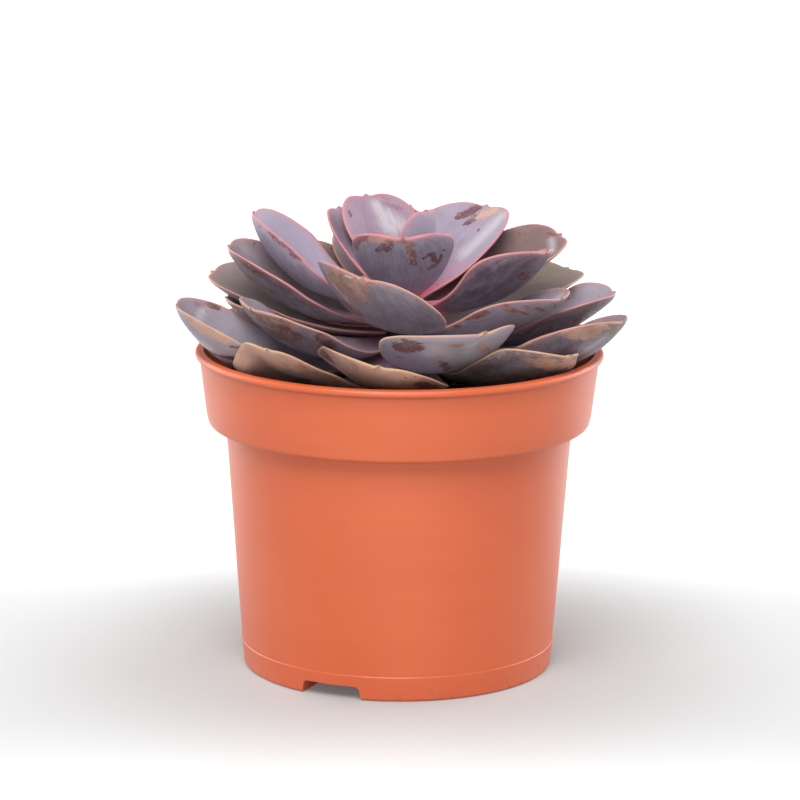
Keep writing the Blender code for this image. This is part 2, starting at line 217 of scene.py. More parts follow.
# One row for each leaf, as in the CAD source: azimuth, height of the foot, rise of the midrib at the foot
# and at the tip, length, greatest width, cupping, roll and skew.
LEAVES = (
    (60, 115, 68, 86, 12, 10, 44, 0, 0),
    (196, 114.5, 64, 84, 13, 11, 44, 0, 0),
    (318, 113, 70, 88, 23, 16, 46, 0, 0),
    (118, 112, 40, 56, 32, 26, 40, 0, 0),
    (268, 110, 36, 64, 28, 35, 58, 2, 0),
    (49, 109, 28, 43, 40, 34, 32, 0, 0),
    (135, 109.7, 34, 54, 33, 23, 40, 0, 0),
    (87, 106.8, 36, 54, 35, 26, 36, 0, 0),
    (177, 108.9, -4, 73, 51.8, 32, 70, -6, 0),
    (333, 108.2, -4, 58, 48.5, 32, 58, -1.5, 0.2),
    (253, 103.6, -4, 66, 42, 46, 36, -18, 0.1),
    (16, 104.5, 18, 37, 48, 32, 34, 12, 0),
    (66, 103.7, 16, 40, 44, 32, 36, 0, 0),
    (108, 104, 18, 38, 42, 28, 36, 0, 0),
    (146, 101.3, 24, 36, 40, 28, 34, 0, 0),
    (184, 103.5, -3, 57, 54, 34, 60, -8, 0),
    (169, 99.4, 0, 35, 55.5, 32, 42, -9, 0),
    (327, 101, -2, 38, 51, 32, 52, 0, 0),
    (39, 99.6, 4, 20, 59, 36, 32, 4, 0),
    (88, 101.4, 2, 28, 54, 34, 38, 0, 0),
    (130, 98.9, 4, 26, 56, 34, 38, 0, 0),
    (219, 98.2, -14, 52, 55.5, 40, 40, -7, 0),
    (4, 98.1, -13, 43, 59.5, 34, 64, 3, 0),
    (296, 98.2, -22, 54, 51.5, 46, 47, 9.5, 0.25),
    (177, 96.8, -6, 38, 49, 27, 36, 0, 0),
    (197, 94.2, -25, 62, 71.2, 36, 68, -12, 0),
    (338, 94, -20, 52, 67, 36, 69, -4, 0),
    (62, 95.5, -6, 20, 60, 34, 38, 0, 0),
    (20, 92.5, -6, 20, 50, 32, 38, 0, 0),
    (108, 94.3, -6, 22, 57, 34, 38, 0, 0),
    (150, 92.5, -4, 20, 56, 34, 38, 0, 0),
    (263, 96.4, -30, 46, 55, 40, 38, -11, 0.15),
    (231.5, 89.4, -9.5, 43, 58, 32, 26, -3, 0.24),
    (322, 90.5, -8, 32, 55, 30, 46, -3, 0.3),
)


# Small helpers

def linked(name, data):
    """A new object with that data, in the scene."""
    obj = bpy.data.objects.new(name, data)
    bpy.context.scene.collection.objects.link(obj)
    return obj


def smoothed(mesh, sharp):
    """Smooth shading, but for edges sharper than the angle in degrees."""
    mesh.shade_smooth()
    mesh.set_sharp_from_angle(angle=math.radians(sharp))


def add_mesh(name, points, faces, finish, sharp=SHARP_ANGLE):
    """An object from points in millimetres."""
    mesh = bpy.data.meshes.new(name)
    mesh.from_pydata([tuple(float(v) * MM for v in p) for p in points], [], faces)
    mesh.update()
    mesh.materials.append(finish)
    smoothed(mesh, sharp)
    return linked(name, mesh)


def put_in_order(mesh):
    """Lists points and faces in one order, because a spin or a boolean leaves them in a new one each run."""
    points = [tuple(round(v, ORDER_DIGITS) for v in vertex.co) for vertex in mesh.vertices]
    order = sorted(range(len(points)), key=points.__getitem__)
    rank = {old: new for new, old in enumerate(order)}
    faces = []
    for polygon in mesh.polygons:
        loop = [rank[k] for k in polygon.vertices]
        first = loop.index(min(loop))
        faces.append(tuple(loop[first:] + loop[:first]))
    mesh.clear_geometry()
    mesh.from_pydata([points[k] for k in order], [], sorted(faces))
    mesh.update()


def turned(name, profile, centre, segments, finish, sharp=SHARP_ANGLE):
    """A closed solid turned round a vertical axis, from its profile listed top to bottom on the outside."""
    mesh = bpy.data.meshes.new(name)
    work = bmesh.new()
    ring = [work.verts.new((r * MM, 0.0, z * MM)) for r, z in profile]
    edges = [work.edges.new(pair) for pair in zip(ring, ring[1:])]
    bmesh.ops.spin(work, geom=ring + edges, cent=(0, 0, 0), axis=(0, 0, 1), dvec=(0, 0, 0),
                   angle=2 * math.pi, steps=segments, use_merge=True, use_duplicate=False)
    bmesh.ops.remove_doubles(work, verts=work.verts, dist=1e-7)
    bmesh.ops.recalc_face_normals(work, faces=work.faces)
    bmesh.ops.translate(work, verts=work.verts, vec=(centre[0] * MM, centre[1] * MM, 0))
    work.to_mesh(mesh)
    work.free()
    mesh.materials.append(finish)
    smoothed(mesh, sharp)
    return linked(name, mesh)


def settled(obj, name, sharp=SHARP_ANGLE, was_cut=False):
    """The object with its modifiers worked into a plain mesh, under a new name."""
    graph = bpy.context.evaluated_depsgraph_get()
    mesh = bpy.data.meshes.new_from_object(obj.evaluated_get(graph), preserve_all_data_layers=True,
                                           depsgraph=graph)
    bpy.data.objects.remove(obj)
    mesh.name = name
    if was_cut:
        put_in_order(mesh)
    smoothed(mesh, sharp)
    return linked(name, mesh)


def arc(centre, radius, start, end, steps):
    """Points (r, z) of a round corner, from one angle in degrees to another."""
    out = []
    for k in range(steps + 1):
        a = math.radians(start + (end - start) * k / steps)
        out.append((centre[0] + radius * math.cos(a), centre[1] + radius * math.sin(a)))
    return out


def smooth_step(x):
    x = np.clip(x, 0, 1)
    return x * x * (3 - 2 * x)


def waves(seed, count, rate):
    """A few plane waves that together make a gentle, repeatable unevenness."""
    draw = random.Random(seed)
    out = []
    for _ in range(count):
        rates = [draw.uniform(-rate, rate) for _ in range(2)]
        out.append((rates[0], rates[1], draw.uniform(0, 2 * math.pi)))
    return out


def wave_sum(x, y, parts):
    return sum(np.sin(fx * x + fy * y + phase) for fx, fy, phase in parts) / len(parts)


# Pot, soil and stem

def wall_radius(z):
    """Outer radius of the tapered wall under the band."""
    return FOOT_RADIUS + (WALL_TOP_RADIUS - FOOT_RADIUS) * z / BAND_FOOT


def band_radius(z):
    """Outer radius of the band under the lip."""
    share = (z - BAND_FOOT) / (POT_TOP - LIP_HEIGHT - BAND_FOOT)
    return BAND_FOOT_RADIUS + (BAND_TOP_RADIUS - BAND_FOOT_RADIUS) * share


def pot_outside():
    """Outer profile from the middle of the top, over the lip, down to the middle of the foot."""
    lip = LIP_HEIGHT / 2
    groove = POT_TOP - LIP_HEIGHT - LIP_GROOVE
    bead = arc((LIP_RADIUS - lip, POT_TOP - lip), lip, 90, -78, 14)
    under_lip = [(band_radius(groove) + 0.12, groove + 0.1), (band_radius(groove), groove - 0.15)]
    band = [(band_radius(z), z) for z in BAND_RINGS + (BAND_FOOT + BAND_EDGE + 1.5,)]
    band_foot = arc((BAND_FOOT_RADIUS - BAND_EDGE, BAND_FOOT + BAND_EDGE), BAND_EDGE, 0, -84, 8)
    hollow = arc((WALL_TOP_RADIUS + 1.3, BAND_FOOT - 1.5), HOLLOW_RADIUS, 90, 175, 5)
    wall = [(wall_radius(z), z) for z in WALL_RINGS]
    above, below = SEAM_HEIGHT + SEAM_ABOVE, SEAM_HEIGHT - SEAM_BELOW
    seam = [(wall_radius(above), above), (wall_radius(SEAM_HEIGHT) + SEAM_STEP, SEAM_HEIGHT),
            (wall_radius(below) + SEAM_STEP * 0.9, below), (FOOT_RADIUS + 0.06, 2.5)]
    foot = arc((FOOT_RADIUS - FOOT_EDGE, FOOT_EDGE), FOOT_EDGE, 0, -90, 5) + [(0.0, 0.0)]
    return [(0.0, POT_TOP)] + bead + under_lip + band + band_foot + hollow + wall + seam + foot


def cavity_profile(inset=0.0, top=POT_TOP + CUT_BELOW):
    """Profile of the pot's inside, or of what fills it when it is inset."""
    shelf = BAND_FOOT + WALL
    rim = band_radius(POT_TOP - LIP_HEIGHT) - WALL - inset
    return [(0.0, top), (rim, top), (rim, POT_TOP - LIP_HEIGHT),
            (band_radius(shelf + EASE) - WALL - inset, shelf + EASE + inset),
            (band_radius(shelf) - WALL - EASE - inset, shelf + inset),
            (WALL_TOP_RADIUS - WALL / 4 - inset, shelf - EASE / 2 + inset),
            (wall_radius(BAND_FOOT - FILLET) - WALL - inset, BAND_FOOT - FILLET),
            (wall_radius(WALL + EASE) - WALL - inset, WALL + EASE + inset),
            (wall_radius(WALL) - WALL - EASE - inset, WALL + inset), (0.0, WALL + inset)]


def channel_block(name, azimuth, clearance):
    """A long block of the channels' section, laid along a radius; clearance widens it on every side."""
    half = CHANNEL_WIDTH / 2 + clearance
    top = CHANNEL_HEIGHT + clearance
    corner = CHANNEL_CORNER + clearance
    section = [(half + CHANNEL_LEAN, -CUT_BELOW)] + arc((half - corner, top - corner), corner, 0, 90, 8)
    section += [(-y, z) for y, z in reversed(section)]
    mesh = bpy.data.meshes.new(name)
    work = bmesh.new()
    near = [work.verts.new((0.0, y * MM, z * MM)) for y, z in section]
    far = [work.verts.new((CUT_REACH * MM, y * MM, z * MM)) for y, z in section]
    work.faces.new(near)
    work.faces.new(far)
    for k in range(len(section)):
        after = (k + 1) % len(section)
        work.faces.new((near[k], near[after], far[after], far[k]))
    bmesh.ops.recalc_face_normals(work, faces=work.faces)
    work.to_mesh(mesh)
    work.free()
    obj = linked(name, mesh)
    obj.rotation_euler[2] = math.radians(azimuth)
    return obj


def rod(name, centre, radius, bottom, top, sides):
    """A plain vertical cylinder, used as a cutter."""
    mesh = bpy.data.meshes.new(name)
    work = bmesh.new()
    bmesh.ops.create_cone(work, cap_ends=True, segments=sides, radius1=radius * MM, radius2=radius * MM,
                          depth=(top - bottom) * MM)
    bmesh.ops.translate(work, verts=work.verts, vec=(centre[0] * MM, centre[1] * MM, (top + bottom) / 2 * MM))
    work.to_mesh(mesh)
    work.free()
    return linked(name, mesh)


def cut(obj, cutter):
    step = obj.modifiers.new("cut " + cutter.name, "BOOLEAN")
    step.operation = "DIFFERENCE"
    step.object = cutter


def drop_cutters():
    """Removes the cutters, once what they cut is a plain mesh."""
    for obj in list(bpy.data.objects):
        if obj.name.startswith("cutter_"):
            bpy.data.objects.remove(obj)


def raised_floor(label, clearance):
    """The blocks that together fill the channels and the raised middle under the pot."""
    top = CHANNEL_HEIGHT + clearance
    name = "cutter_%s_middle" % label
    blocks = [rod(name, (0, 0), RAISED_RADIUS + clearance, -CUT_BELOW, top, RAISED_SIDES)]
    for k in range(CHANNELS):
        azimuth = FIRST_CHANNEL + 360.0 * k / CHANNELS
        blocks.append(channel_block("cutter_%s_channel_%d" % (label, k + 1), azimuth, clearance))
    return blocks


def make_pot(finish):
    pot = turned("pot_blank", pot_outside(), (0, 0), SEGMENTS, finish)
    cavity = turned("cutter_cavity", cavity_profile(), (0, 0), SEGMENTS, finish)
    for block in raised_floor("floor", WALL):
        cut(cavity, block)
    cut(pot, cavity)
    for block in raised_floor("recess", 0.0):
        cut(pot, block)
    top = CHANNEL_HEIGHT + WALL + CUT_BELOW
    for count, radius, turn in DRAIN_RINGS:
        for k in range(count):
            a = math.radians(turn + 360.0 * k / count)
            place = (radius * math.cos(a), radius * math.sin(a))
            name = "cutter_drain_%d_%d" % (radius, k)
            cut(pot, rod(name, place, DRAIN_HOLE / 2, -CUT_BELOW, top, DRAIN_SIDES))
    pot = settled(pot, "plastic_pot", 30.0, was_cut=True)
    drop_cutters()
    return pot


def soil_height(x, y, parts):
    """Height of the soil, low at the rim, with a few shallow waves and clods."""
    r = np.hypot(x, y) / BAND_FOOT_RADIUS
    clods = wave_sum(x, y, waves(SOIL_SEED + 1, 14, 2 * math.pi / CLOD_SIZE))
    return SOIL_LEVEL + SOIL_MOUND * (1 - r * r) + SOIL_UNEVEN * wave_sum(x, y, parts) + CLOD_HEIGHT * clods


def make_soil(finish):
    side = [p for p in cavity_profile(GAP, SOIL_LEVEL) if p[1] < SOIL_LEVEL]
    edge = band_radius(SOIL_LEVEL) - WALL - GAP
    top = [(edge * k / SOIL_RINGS, SOIL_LEVEL) for k in range(SOIL_RINGS + 1)]
    soil = turned("soil_blank", top + side, (0, 0), SEGMENTS, finish)
    parts = waves(SOIL_SEED, SOIL_WAVES, SOIL_WAVE_RATE)
    level = (SOIL_LEVEL - GAP) * MM
    for vertex in soil.data.vertices:
        if vertex.co.z > level:
            vertex.co.z = soil_height(vertex.co.x / MM, vertex.co.y / MM, parts) * MM
    for block in raised_floor("under_soil", WALL + GAP):
        cut(soil, block)
    place = (PLANT_X, 0)
    cut(soil, rod("cutter_stem_hole", place, STEM_FOOT_RADIUS + GAP, STEM_FOOT - GAP, POT_TOP, STEM_SIDES))
    soil = settled(soil, "potting_soil", 60.0, was_cut=True)
    drop_cutters()
    return soil


def stem_radius(z):
    """The stem is straight in the soil and tapers among the leaves."""
    share = max(0.0, (z - STEM_SHOULDER) / (STEM_TOP - STEM_SHOULDER))
    return STEM_FOOT_RADIUS + (STEM_TOP_RADIUS - STEM_FOOT_RADIUS) * min(share, 1.0) ** STEM_TAPER


def make_stem(finish):
    """The stem, with the low rings of scars that fallen leaves left."""
    heights = [STEM_TOP - (STEM_TOP - STEM_FOOT) * k / STEM_RINGS for k in range(STEM_RINGS + 1)]
    profile = [(0.0, STEM_TOP + STEM_TIP)]
    profile += [(stem_radius(z) - 0.12 - 0.12 * math.sin(z * 2.1), z) for z in heights]
    profile += [(0.0, STEM_FOOT)]
    stem = turned("woody_stem", profile, (PLANT_X, 0), STEM_SIDES, finish)
    put_in_order(stem.data)
    smoothed(stem.data, SHARP_ANGLE)
    return stem


# The camera, and where it sees a place of the photograph

def camera_axes():
    """The camera's right, up and forward directions."""
    p, r = math.radians(CAMERA_PITCH), math.radians(CAMERA_ROLL)
    forward = Vector((0, math.cos(p), -math.sin(p)))
    level_up, level_right = Vector((0, math.sin(p), math.cos(p))), Vector((1, 0, 0))
    right = level_right * math.cos(r) + level_up * math.sin(r)
    up = level_up * math.cos(r) - level_right * math.sin(r)
    return right, up, forward


def photo_ray(x, y):
    """Direction from the camera through a pixel of the photograph."""
    right, up, forward = camera_axes()
    middle, focal = PHOTO_SIZE / 2, CAMERA_LENS / CAMERA_SENSOR * PHOTO_SIZE
    return (forward + right * ((x - middle) / focal) - up * ((y - middle) / focal)).normalized()


def seen_on(tree, points, faces, levels, face, x, y):
    """Along and across the blade where the pixel's ray first meets it, if that is on the wanted face."""
    hit, _, index, _ = tree.ray_cast(Vector(CAMERA_PLACE), photo_ray(x, y))
    if index is None:
        return None
    corners = faces[index]
    weights = poly_3d_calc([points[k] for k in corners], hit)
    along, across, under = (sum(w * level[k] for w, k in zip(weights, corners)) for level in levels)
    if (under > 0.5) != (face == "under"):
        return None
    return round(along, 2), round(across, 2)


def seen_near(tree, points, faces, levels, face, x, y):
    """The same, or the first place found beside the pixel where its own ray misses the face."""
    for reach in range(SEARCH_REACH + 1):
        steps = max(1, reach * 8)
        for k in range(steps):
            a = 2 * math.pi * k / steps
            beside = x + reach * math.cos(a), y + reach * math.sin(a)
            place = seen_on(tree, points, faces, levels, face, *beside)
            if place is not None:
                return place
    return None


# Leaves

def half_width(s, width):
    """Half of the blade's width, a share s along it: narrow at the stem, blunt at the tip."""
    grow = LEAF_FOOT_SHARE + (1 - LEAF_FOOT_SHARE) * smooth_step(s / LEAF_WIDEST) ** WIDTH_GROWTH
    past = np.clip((s - LEAF_WIDEST) / (1 - LEAF_WIDEST), 0, 1)
    return width / 2 * grow * (1 - past ** WIDTH_CLOSE) ** WIDTH_BLUNT


def thickness_along(s):
    return LEAF_THICKNESS * (THICK_FOOT + THICK_GROWTH * s - THICK_FALL * s * s)


def midrib(leaf, stations):
    """Points along the midrib, with the forward, across and upper directions there."""
    fine = np.linspace(0, 1, MIDRIB_STEPS + 1)
    slope = np.radians(leaf.rise + (leaf.lift - leaf.rise) * fine ** CURL)
    a = math.radians(leaf.azimuth)
    out = np.array((math.cos(a), math.sin(a), 0.0))
    side = np.array((-math.sin(a), math.cos(a), 0.0))
    up = np.array((0.0, 0.0, 1.0))
    forward = np.cos(slope)[:, None] * out + np.sin(slope)[:, None] * up
    steps = (forward[1:] + forward[:-1]) / 2 * leaf.length / MIDRIB_STEPS
    lean = abs(math.sin(math.radians(leaf.rise))) * thickness_along(0.0) * (1 - UPPER_SHARE)
    foot = out * (stem_radius(leaf.foot) + GAP + lean) + (PLANT_X, 0.0, leaf.foot)
    points = foot + np.concatenate([np.zeros((1, 3)), np.cumsum(steps, axis=0)])
    s = np.asarray(stations)
    points = np.stack([np.interp(s, fine, points[:, k]) for k in range(3)], axis=1)
    slope = np.interp(s, fine, slope)[:, None]
    forward = np.cos(slope) * out + np.sin(slope) * up
    upper = np.cos(slope) * up - np.sin(slope) * out
    turn = np.radians(leaf.roll) * np.clip(s / ROLL_BY, 0, 1)[:, None]
    across = side * np.cos(turn) + upper * np.sin(turn)
    upper = upper * np.cos(turn) - side * np.sin(turn)
    return points, forward, across, upper


def leaf_sheet(leaf, stations, across_shares, widen=1.0):
    """The blade's middle surface on a grid from foot to tip: points, upper normals, thickness, forward
    directions, and each point's place in the flat blade."""
    s = np.asarray(stations)
    t = np.asarray(across_shares)[None, :]
    mid, forward, across, upper = midrib(leaf, stations)
    half = (half_width(s, leaf.width) * widen)[:, None]
    bend = math.radians(leaf.cup) / (leaf.width / 2)
    angle = bend * half * (t - leaf.skew * smooth_step(s)[:, None])
    sideways = np.sin(angle) / bend
    rise = (1 - np.cos(angle)) / bend
    share = np.clip(np.abs(half * t) / (leaf.width / 2), 0, 1)
    ahead = LOBE * 4 * share * (1 - share) * smooth_step((s - LOBE_FROM) / (1 - LOBE_FROM))[:, None]
    points = (mid[:, None] + across[:, None] * sideways[..., None] + upper[:, None] * rise[..., None]
              + forward[:, None] * ahead[..., None])
    normals = upper[:, None] * np.cos(angle)[..., None] - across[:, None] * np.sin(angle)[..., None]
    thick = thickness_along(s)[:, None] * np.sqrt(np.clip(1 - np.abs(t) ** MARGIN_ROUND, 0, 1))
    flat = np.stack([half * t, s[:, None] * leaf.length + ahead], axis=-1)
    return points, normals, thick, forward, flat


def bend_clear(points, normals, thick, above):
    """Moves the solid blade down and out wherever it would meet the leaves above it."""
    points = points.copy()
    rows, columns = thick.shape
    for _ in range(BEND_ROUNDS):
        push = np.zeros((rows, columns))
        for i in range(2 * rows - 1):
            for j in range(2 * columns - 1):
                corners = {(i // 2, j // 2), ((i + 1) // 2, j // 2), (i // 2, (j + 1) // 2),
                           ((i + 1) // 2, (j + 1) // 2)}
                place = sum(points[c] for c in corners) / len(corners)
                normal = Vector(sum(normals[c] for c in corners)).normalized()
                need = sum(thick[c] for c in corners) / len(corners) * UPPER_SHARE + LEAF_GAP
                hit = above.ray_cast(Vector(place) - normal * BEND_REACH, normal)
                if hit[3] is not None and hit[3] < BEND_REACH + need:
                    for c in corners:
                        push[c] = max(push[c], BEND_REACH + need - hit[3])
        if push.max() < BEND_DONE:
            break
        points -= normals * spread_push(push)[..., None]
    return points


def spread_push(push):
    """Each point's push, carried on to its neighbours."""
    wide = np.pad(push, 1, mode="edge")
    spread = (wide[:-2, 1:-1] + wide[2:, 1:-1] + wide[1:-1, :-2] + wide[1:-1, 2:]) / 4
    return np.maximum(push, BEND_SPREAD * spread)


def leaf_skin(points, normals, thick, tip):
    """The two faces of the blade, joined at the margins, with a flat foot. Returns points and faces."""
    rows, columns = thick.shape
    upper = points + normals * thick[..., None] * UPPER_SHARE
    lower = points - normals * thick[..., None] * (1 - UPPER_SHARE)
    top = np.arange(rows * columns).reshape(rows, columns)
    bottom = top.copy()
    inner = columns - 2
    bottom[:, 1:-1] = rows * columns + np.arange(rows * inner).reshape(rows, inner)
    vertices = list(upper.reshape(-1, 3)) + list(lower[:, 1:-1].reshape(-1, 3)) + [tip]
    point = len(vertices) - 1
    faces = []
    for grid, outward in ((top, True), (bottom, False)):
        for j in range(columns - 1):
            strip = []
            for i in range(rows - 1):
                a, b, c, d = grid[i, j], grid[i + 1, j], grid[i + 1, j + 1], grid[i, j + 1]
                strip += [(a, b, c), (a, c, d)] if j < columns // 2 else [(a, b, d), (b, c, d)]
            strip.append((grid[-1, j], point, grid[-1, j + 1]))
            faces += strip if outward else [f[::-1] for f in strip]
    foot = list(top[0]) + list(bottom[0, -2:0:-1])
    faces.append(tuple(foot))
    return vertices, [tuple(int(k) for k in f) for f in faces]


def cubic(values, at, wanted):
    """Values known at some places, carried smoothly to others along the first axis."""
    at, wanted = np.asarray(at, float), np.clip(wanted, at[0], at[-1])
    slopes = np.gradient(values, at, axis=0)
    k = np.clip(np.searchsorted(at, wanted, side="right") - 1, 0, len(at) - 2)
    step = at[k + 1] - at[k]
    shape = (-1,) + (1,) * (values.ndim - 1)
    u, step = ((wanted - at[k]) / step).reshape(shape), step.reshape(shape)
    return ((2 * u ** 3 - 3 * u ** 2 + 1) * values[k] + (u ** 3 - 2 * u ** 2 + u) * step * slopes[k]
            + (3 * u ** 2 - 2 * u ** 3) * values[k + 1] + (u ** 3 - u ** 2) * step * slopes[k + 1])


def fine_places():
    """Stations from foot to tip, and shares across the blade, close together where the form turns fast."""
    u = np.arange(STATIONS) / STATIONS
    stations = 1 - (1 - u) ** STATION_CROWD
    columns = np.sin(np.linspace(-math.pi / 2, math.pi / 2, COLUMNS))
    return stations, 0.35 * np.linspace(-1, 1, COLUMNS) + 0.65 * columns


def fine_leaf(leaf, number, offset):
    """The finer blade, with the solid's bend carried over, its small point and a gentle unevenness."""
    s, t = fine_places()
    along = s * leaf.length
    edge_waves = waves(100 + number, EDGE_WAVES, EDGE_WAVE_RATE)
    widen = 1 + MARGIN_WAVE * wave_sum(along, along * 0, edge_waves) * 2
    points, normals, thick, forward, flat = leaf_sheet(leaf, s, t, widen)
    moved = cubic(offset, SOLID_STATIONS, s)
    moved = cubic(moved.swapaxes(0, 1), np.linspace(-1, 1, SOLID_COLUMNS), t).swapaxes(0, 1)
    points = points + moved
    reach = LEAF_POINT * np.exp(-(flat[..., 0] / POINT_WIDTH) ** 2)
    reach *= smooth_step((s - POINT_FROM) / (1 - POINT_FROM))[:, None] ** 2
    points += forward[:, None] * reach[..., None]
    uneven = WAVE_HEIGHT * wave_sum(flat[..., 0], flat[..., 1], waves(number, BLADE_WAVES, BLADE_WAVE_RATE))
    uneven *= (smooth_step(s / WAVES_FROM) * smooth_step((1 - s) / WAVES_TO))[:, None]
    points += normals * uneven[..., None]
    past = np.clip((s - (1 - END_ROUND)) / END_ROUND, 0, 1)[:, None]
    thick = thick * np.sqrt(1 - past ** 2.4 * 0.94)
    flat = np.stack([flat[..., 0], flat[..., 1] + reach], axis=-1)
    return points, normals, thick, flat


def clear_skin(points, normals, thick, above):
    """A last small push for the finer blade, where it would still touch the leaves above it."""
    points = points.copy()
    for _ in range(SKIN_ROUNDS):
        push = np.zeros(thick.shape)
        for i, j in np.ndindex(thick.shape):
            need = thick[i, j] * UPPER_SHARE + SKIN_GAP
            normal = Vector(normals[i, j])
            hit = above.ray_cast(Vector(points[i, j]) - normal * SKIN_REACH, normal, SKIN_REACH + need)
            if hit[3] is not None:
                push[i, j] = SKIN_REACH + need - hit[3]
        if push.max() < SKIN_DONE:
            break
        for _ in range(SKIN_SPREADS):
            push = spread_push(push)
        points -= normals * push[..., None]
    return points


def margin_distance(flat):
    """How far each point of the flat blade lies from its outline, in millimetres."""
    outline = np.concatenate([flat[:, 0], flat[:, -1], flat[-1]])
    gaps = flat.reshape(-1, 1, 2) - outline[None]
    return np.sqrt((gaps ** 2).sum(-1)).min(1).reshape(flat.shape[:2])


def grown_leaves():
    """Every leaf's finer blade, youngest first, each bent clear of those above it."""
    placed_points, placed_faces, skin_points, skin_faces = [], [], [], []
    order = sorted((Leaf(*row) for row in LEAVES), key=lambda leaf: -leaf.foot)
    for number, leaf in enumerate(order, start=1):
        points, normals, thick, *_ = leaf_sheet(leaf, SOLID_STATIONS, np.linspace(-1, 1, SOLID_COLUMNS))
        tip = midrib(leaf, (1.0,))
        tip = tip[0][0] + tip[1][0] * LEAF_POINT
        offset = np.zeros_like(points)
        if placed_faces:
            bent = bend_clear(points, normals, thick, BVHTree.FromPolygons(placed_points, placed_faces))
            offset = bent - points
            tip = tip + offset[-1, SOLID_COLUMNS // 2]
        vertices, faces = leaf_skin(points + offset, normals, thick, tip)
        start = len(placed_points)
        placed_points += [Vector(v) for v in vertices]
        placed_faces += [tuple(start + k for k in f) for f in faces]
        points, normals, thick, flat = fine_leaf(leaf, number, offset)
        if skin_faces:
            points = clear_skin(points, normals, thick, BVHTree.FromPolygons(skin_points, skin_faces))
        end = points[-1].mean(0)
        tip = end + (end - points[-2].mean(0)) * 0.6
        skin, faces = leaf_skin(points, normals, thick, tip)
        start = len(skin_points)
        skin_points += [Vector(v) for v in skin]
        skin_faces += [tuple(start + k for k in f) for f in faces]
        yield number, leaf, skin, faces, flat


# How each leaf's skin differs: powder above and below, wear above and below, the wear's tone from dark red
# (0) to tan (1), olive, a greenish-brown painted shade above, and the margin's colour from rose (0) to tan
# (1).
Skin = collections.namedtuple("Skin", "powder_above powder_below worn_above worn_below tone olive rim")
PLAIN_SKIN = (0.7, 0.35, 0.05, 0.08, 0.5, 0.35, 0.5)
# Low powder paints shade: the undersides of leaves 9 and 15 and the upper face of leaf 11 lie in the shade of
# other leaves and are made darker by it
SKINS = {
    1: (1.0, 0.9, 0, 0, 0, 0, 0.0), 2: (1.0, 0.9, 0, 0, 0, 0, 0.0), 3: (1.0, 1.0, 0, 0, 0, 0, 0.0),
    4: (0.45, 0.45, 0.02, 0, 0.1, 0, 0.0), 5: (0.7, 0.66, 0, 0.05, 0.15, 0, 0.05),
    6: (0.5, 0.4, 0.05, 0, 0.2, 0.1, 0.15), 7: (0.85, 0.5, 0.03, 0, 0.2, 0, 0.0),
    8: (1.0, 0.9, 0, 0.05, 0.4, 0, 0.05), 9: (0.7, 0.12, 0, 0.02, 0.2, 0.1, 0.2),
    10: (0.6, 0.4, 0.1, 0.1, 0.4, 0.2, 0.3), 11: (0.0, 0.6, 0.12, 0, 0.2, 0.7, 0.3),
    12: (0.5, 0.4, 0.05, 0.1, 0.4, 0.4, 0.35), 13: (0.5, 0.4, 0.05, 0.1, 0.4, 0.4, 0.35),
    14: (0.8, 0.56, 0, 0.02, 0.6, 0.2, 0.45), 15: (0.6, 0.14, 0, 0.05, 0.2, 0.4, 0.2),
    17: (0.5, 0.4, 0.05, 0.05, 0.5, 0.8, 0.4), 18: (0.9, 0.66, 0, 0.08, 0.4, 0.2, 0.3),
    19: (0.35, 0.3, 0.1, 0.1, 0.5, 0.95, 0.8), 20: (0.45, 0.55, 0, 0.05, 0.4, 0.85, 0.4),
    21: (0.5, 0.3, 0.1, 0.1, 0.5, 0.8, 0.6), 22: (0.95, 0.45, 0, 0.15, 0.3, 0, 0.5),
    23: (0.9, 1.3, 0, 0.12, 0.6, 0, 0.85), 24: (0.9, 0.25, 0, 0.08, 0.3, 0.1, 0.3),
    25: (0.5, 0.4, 0, 0.3, 0.85, 0.9, 0.9), 26: (0.6, 0.45, 0, 0.7, 0.85, 0, 0.95),
    29: (0.95, 0.95, 0, 0.05, 0.9, 0, 0.8), 30: (0.6, 0.28, 0, 0.12, 0.8, 0.2, 0.6),
    33: (0.5, 0.4, 0, 0.25, 0.85, 0.2, 0.95), 34: (0.6, 0.45, 0, 0.85, 0.95, 0, 0.95),
}
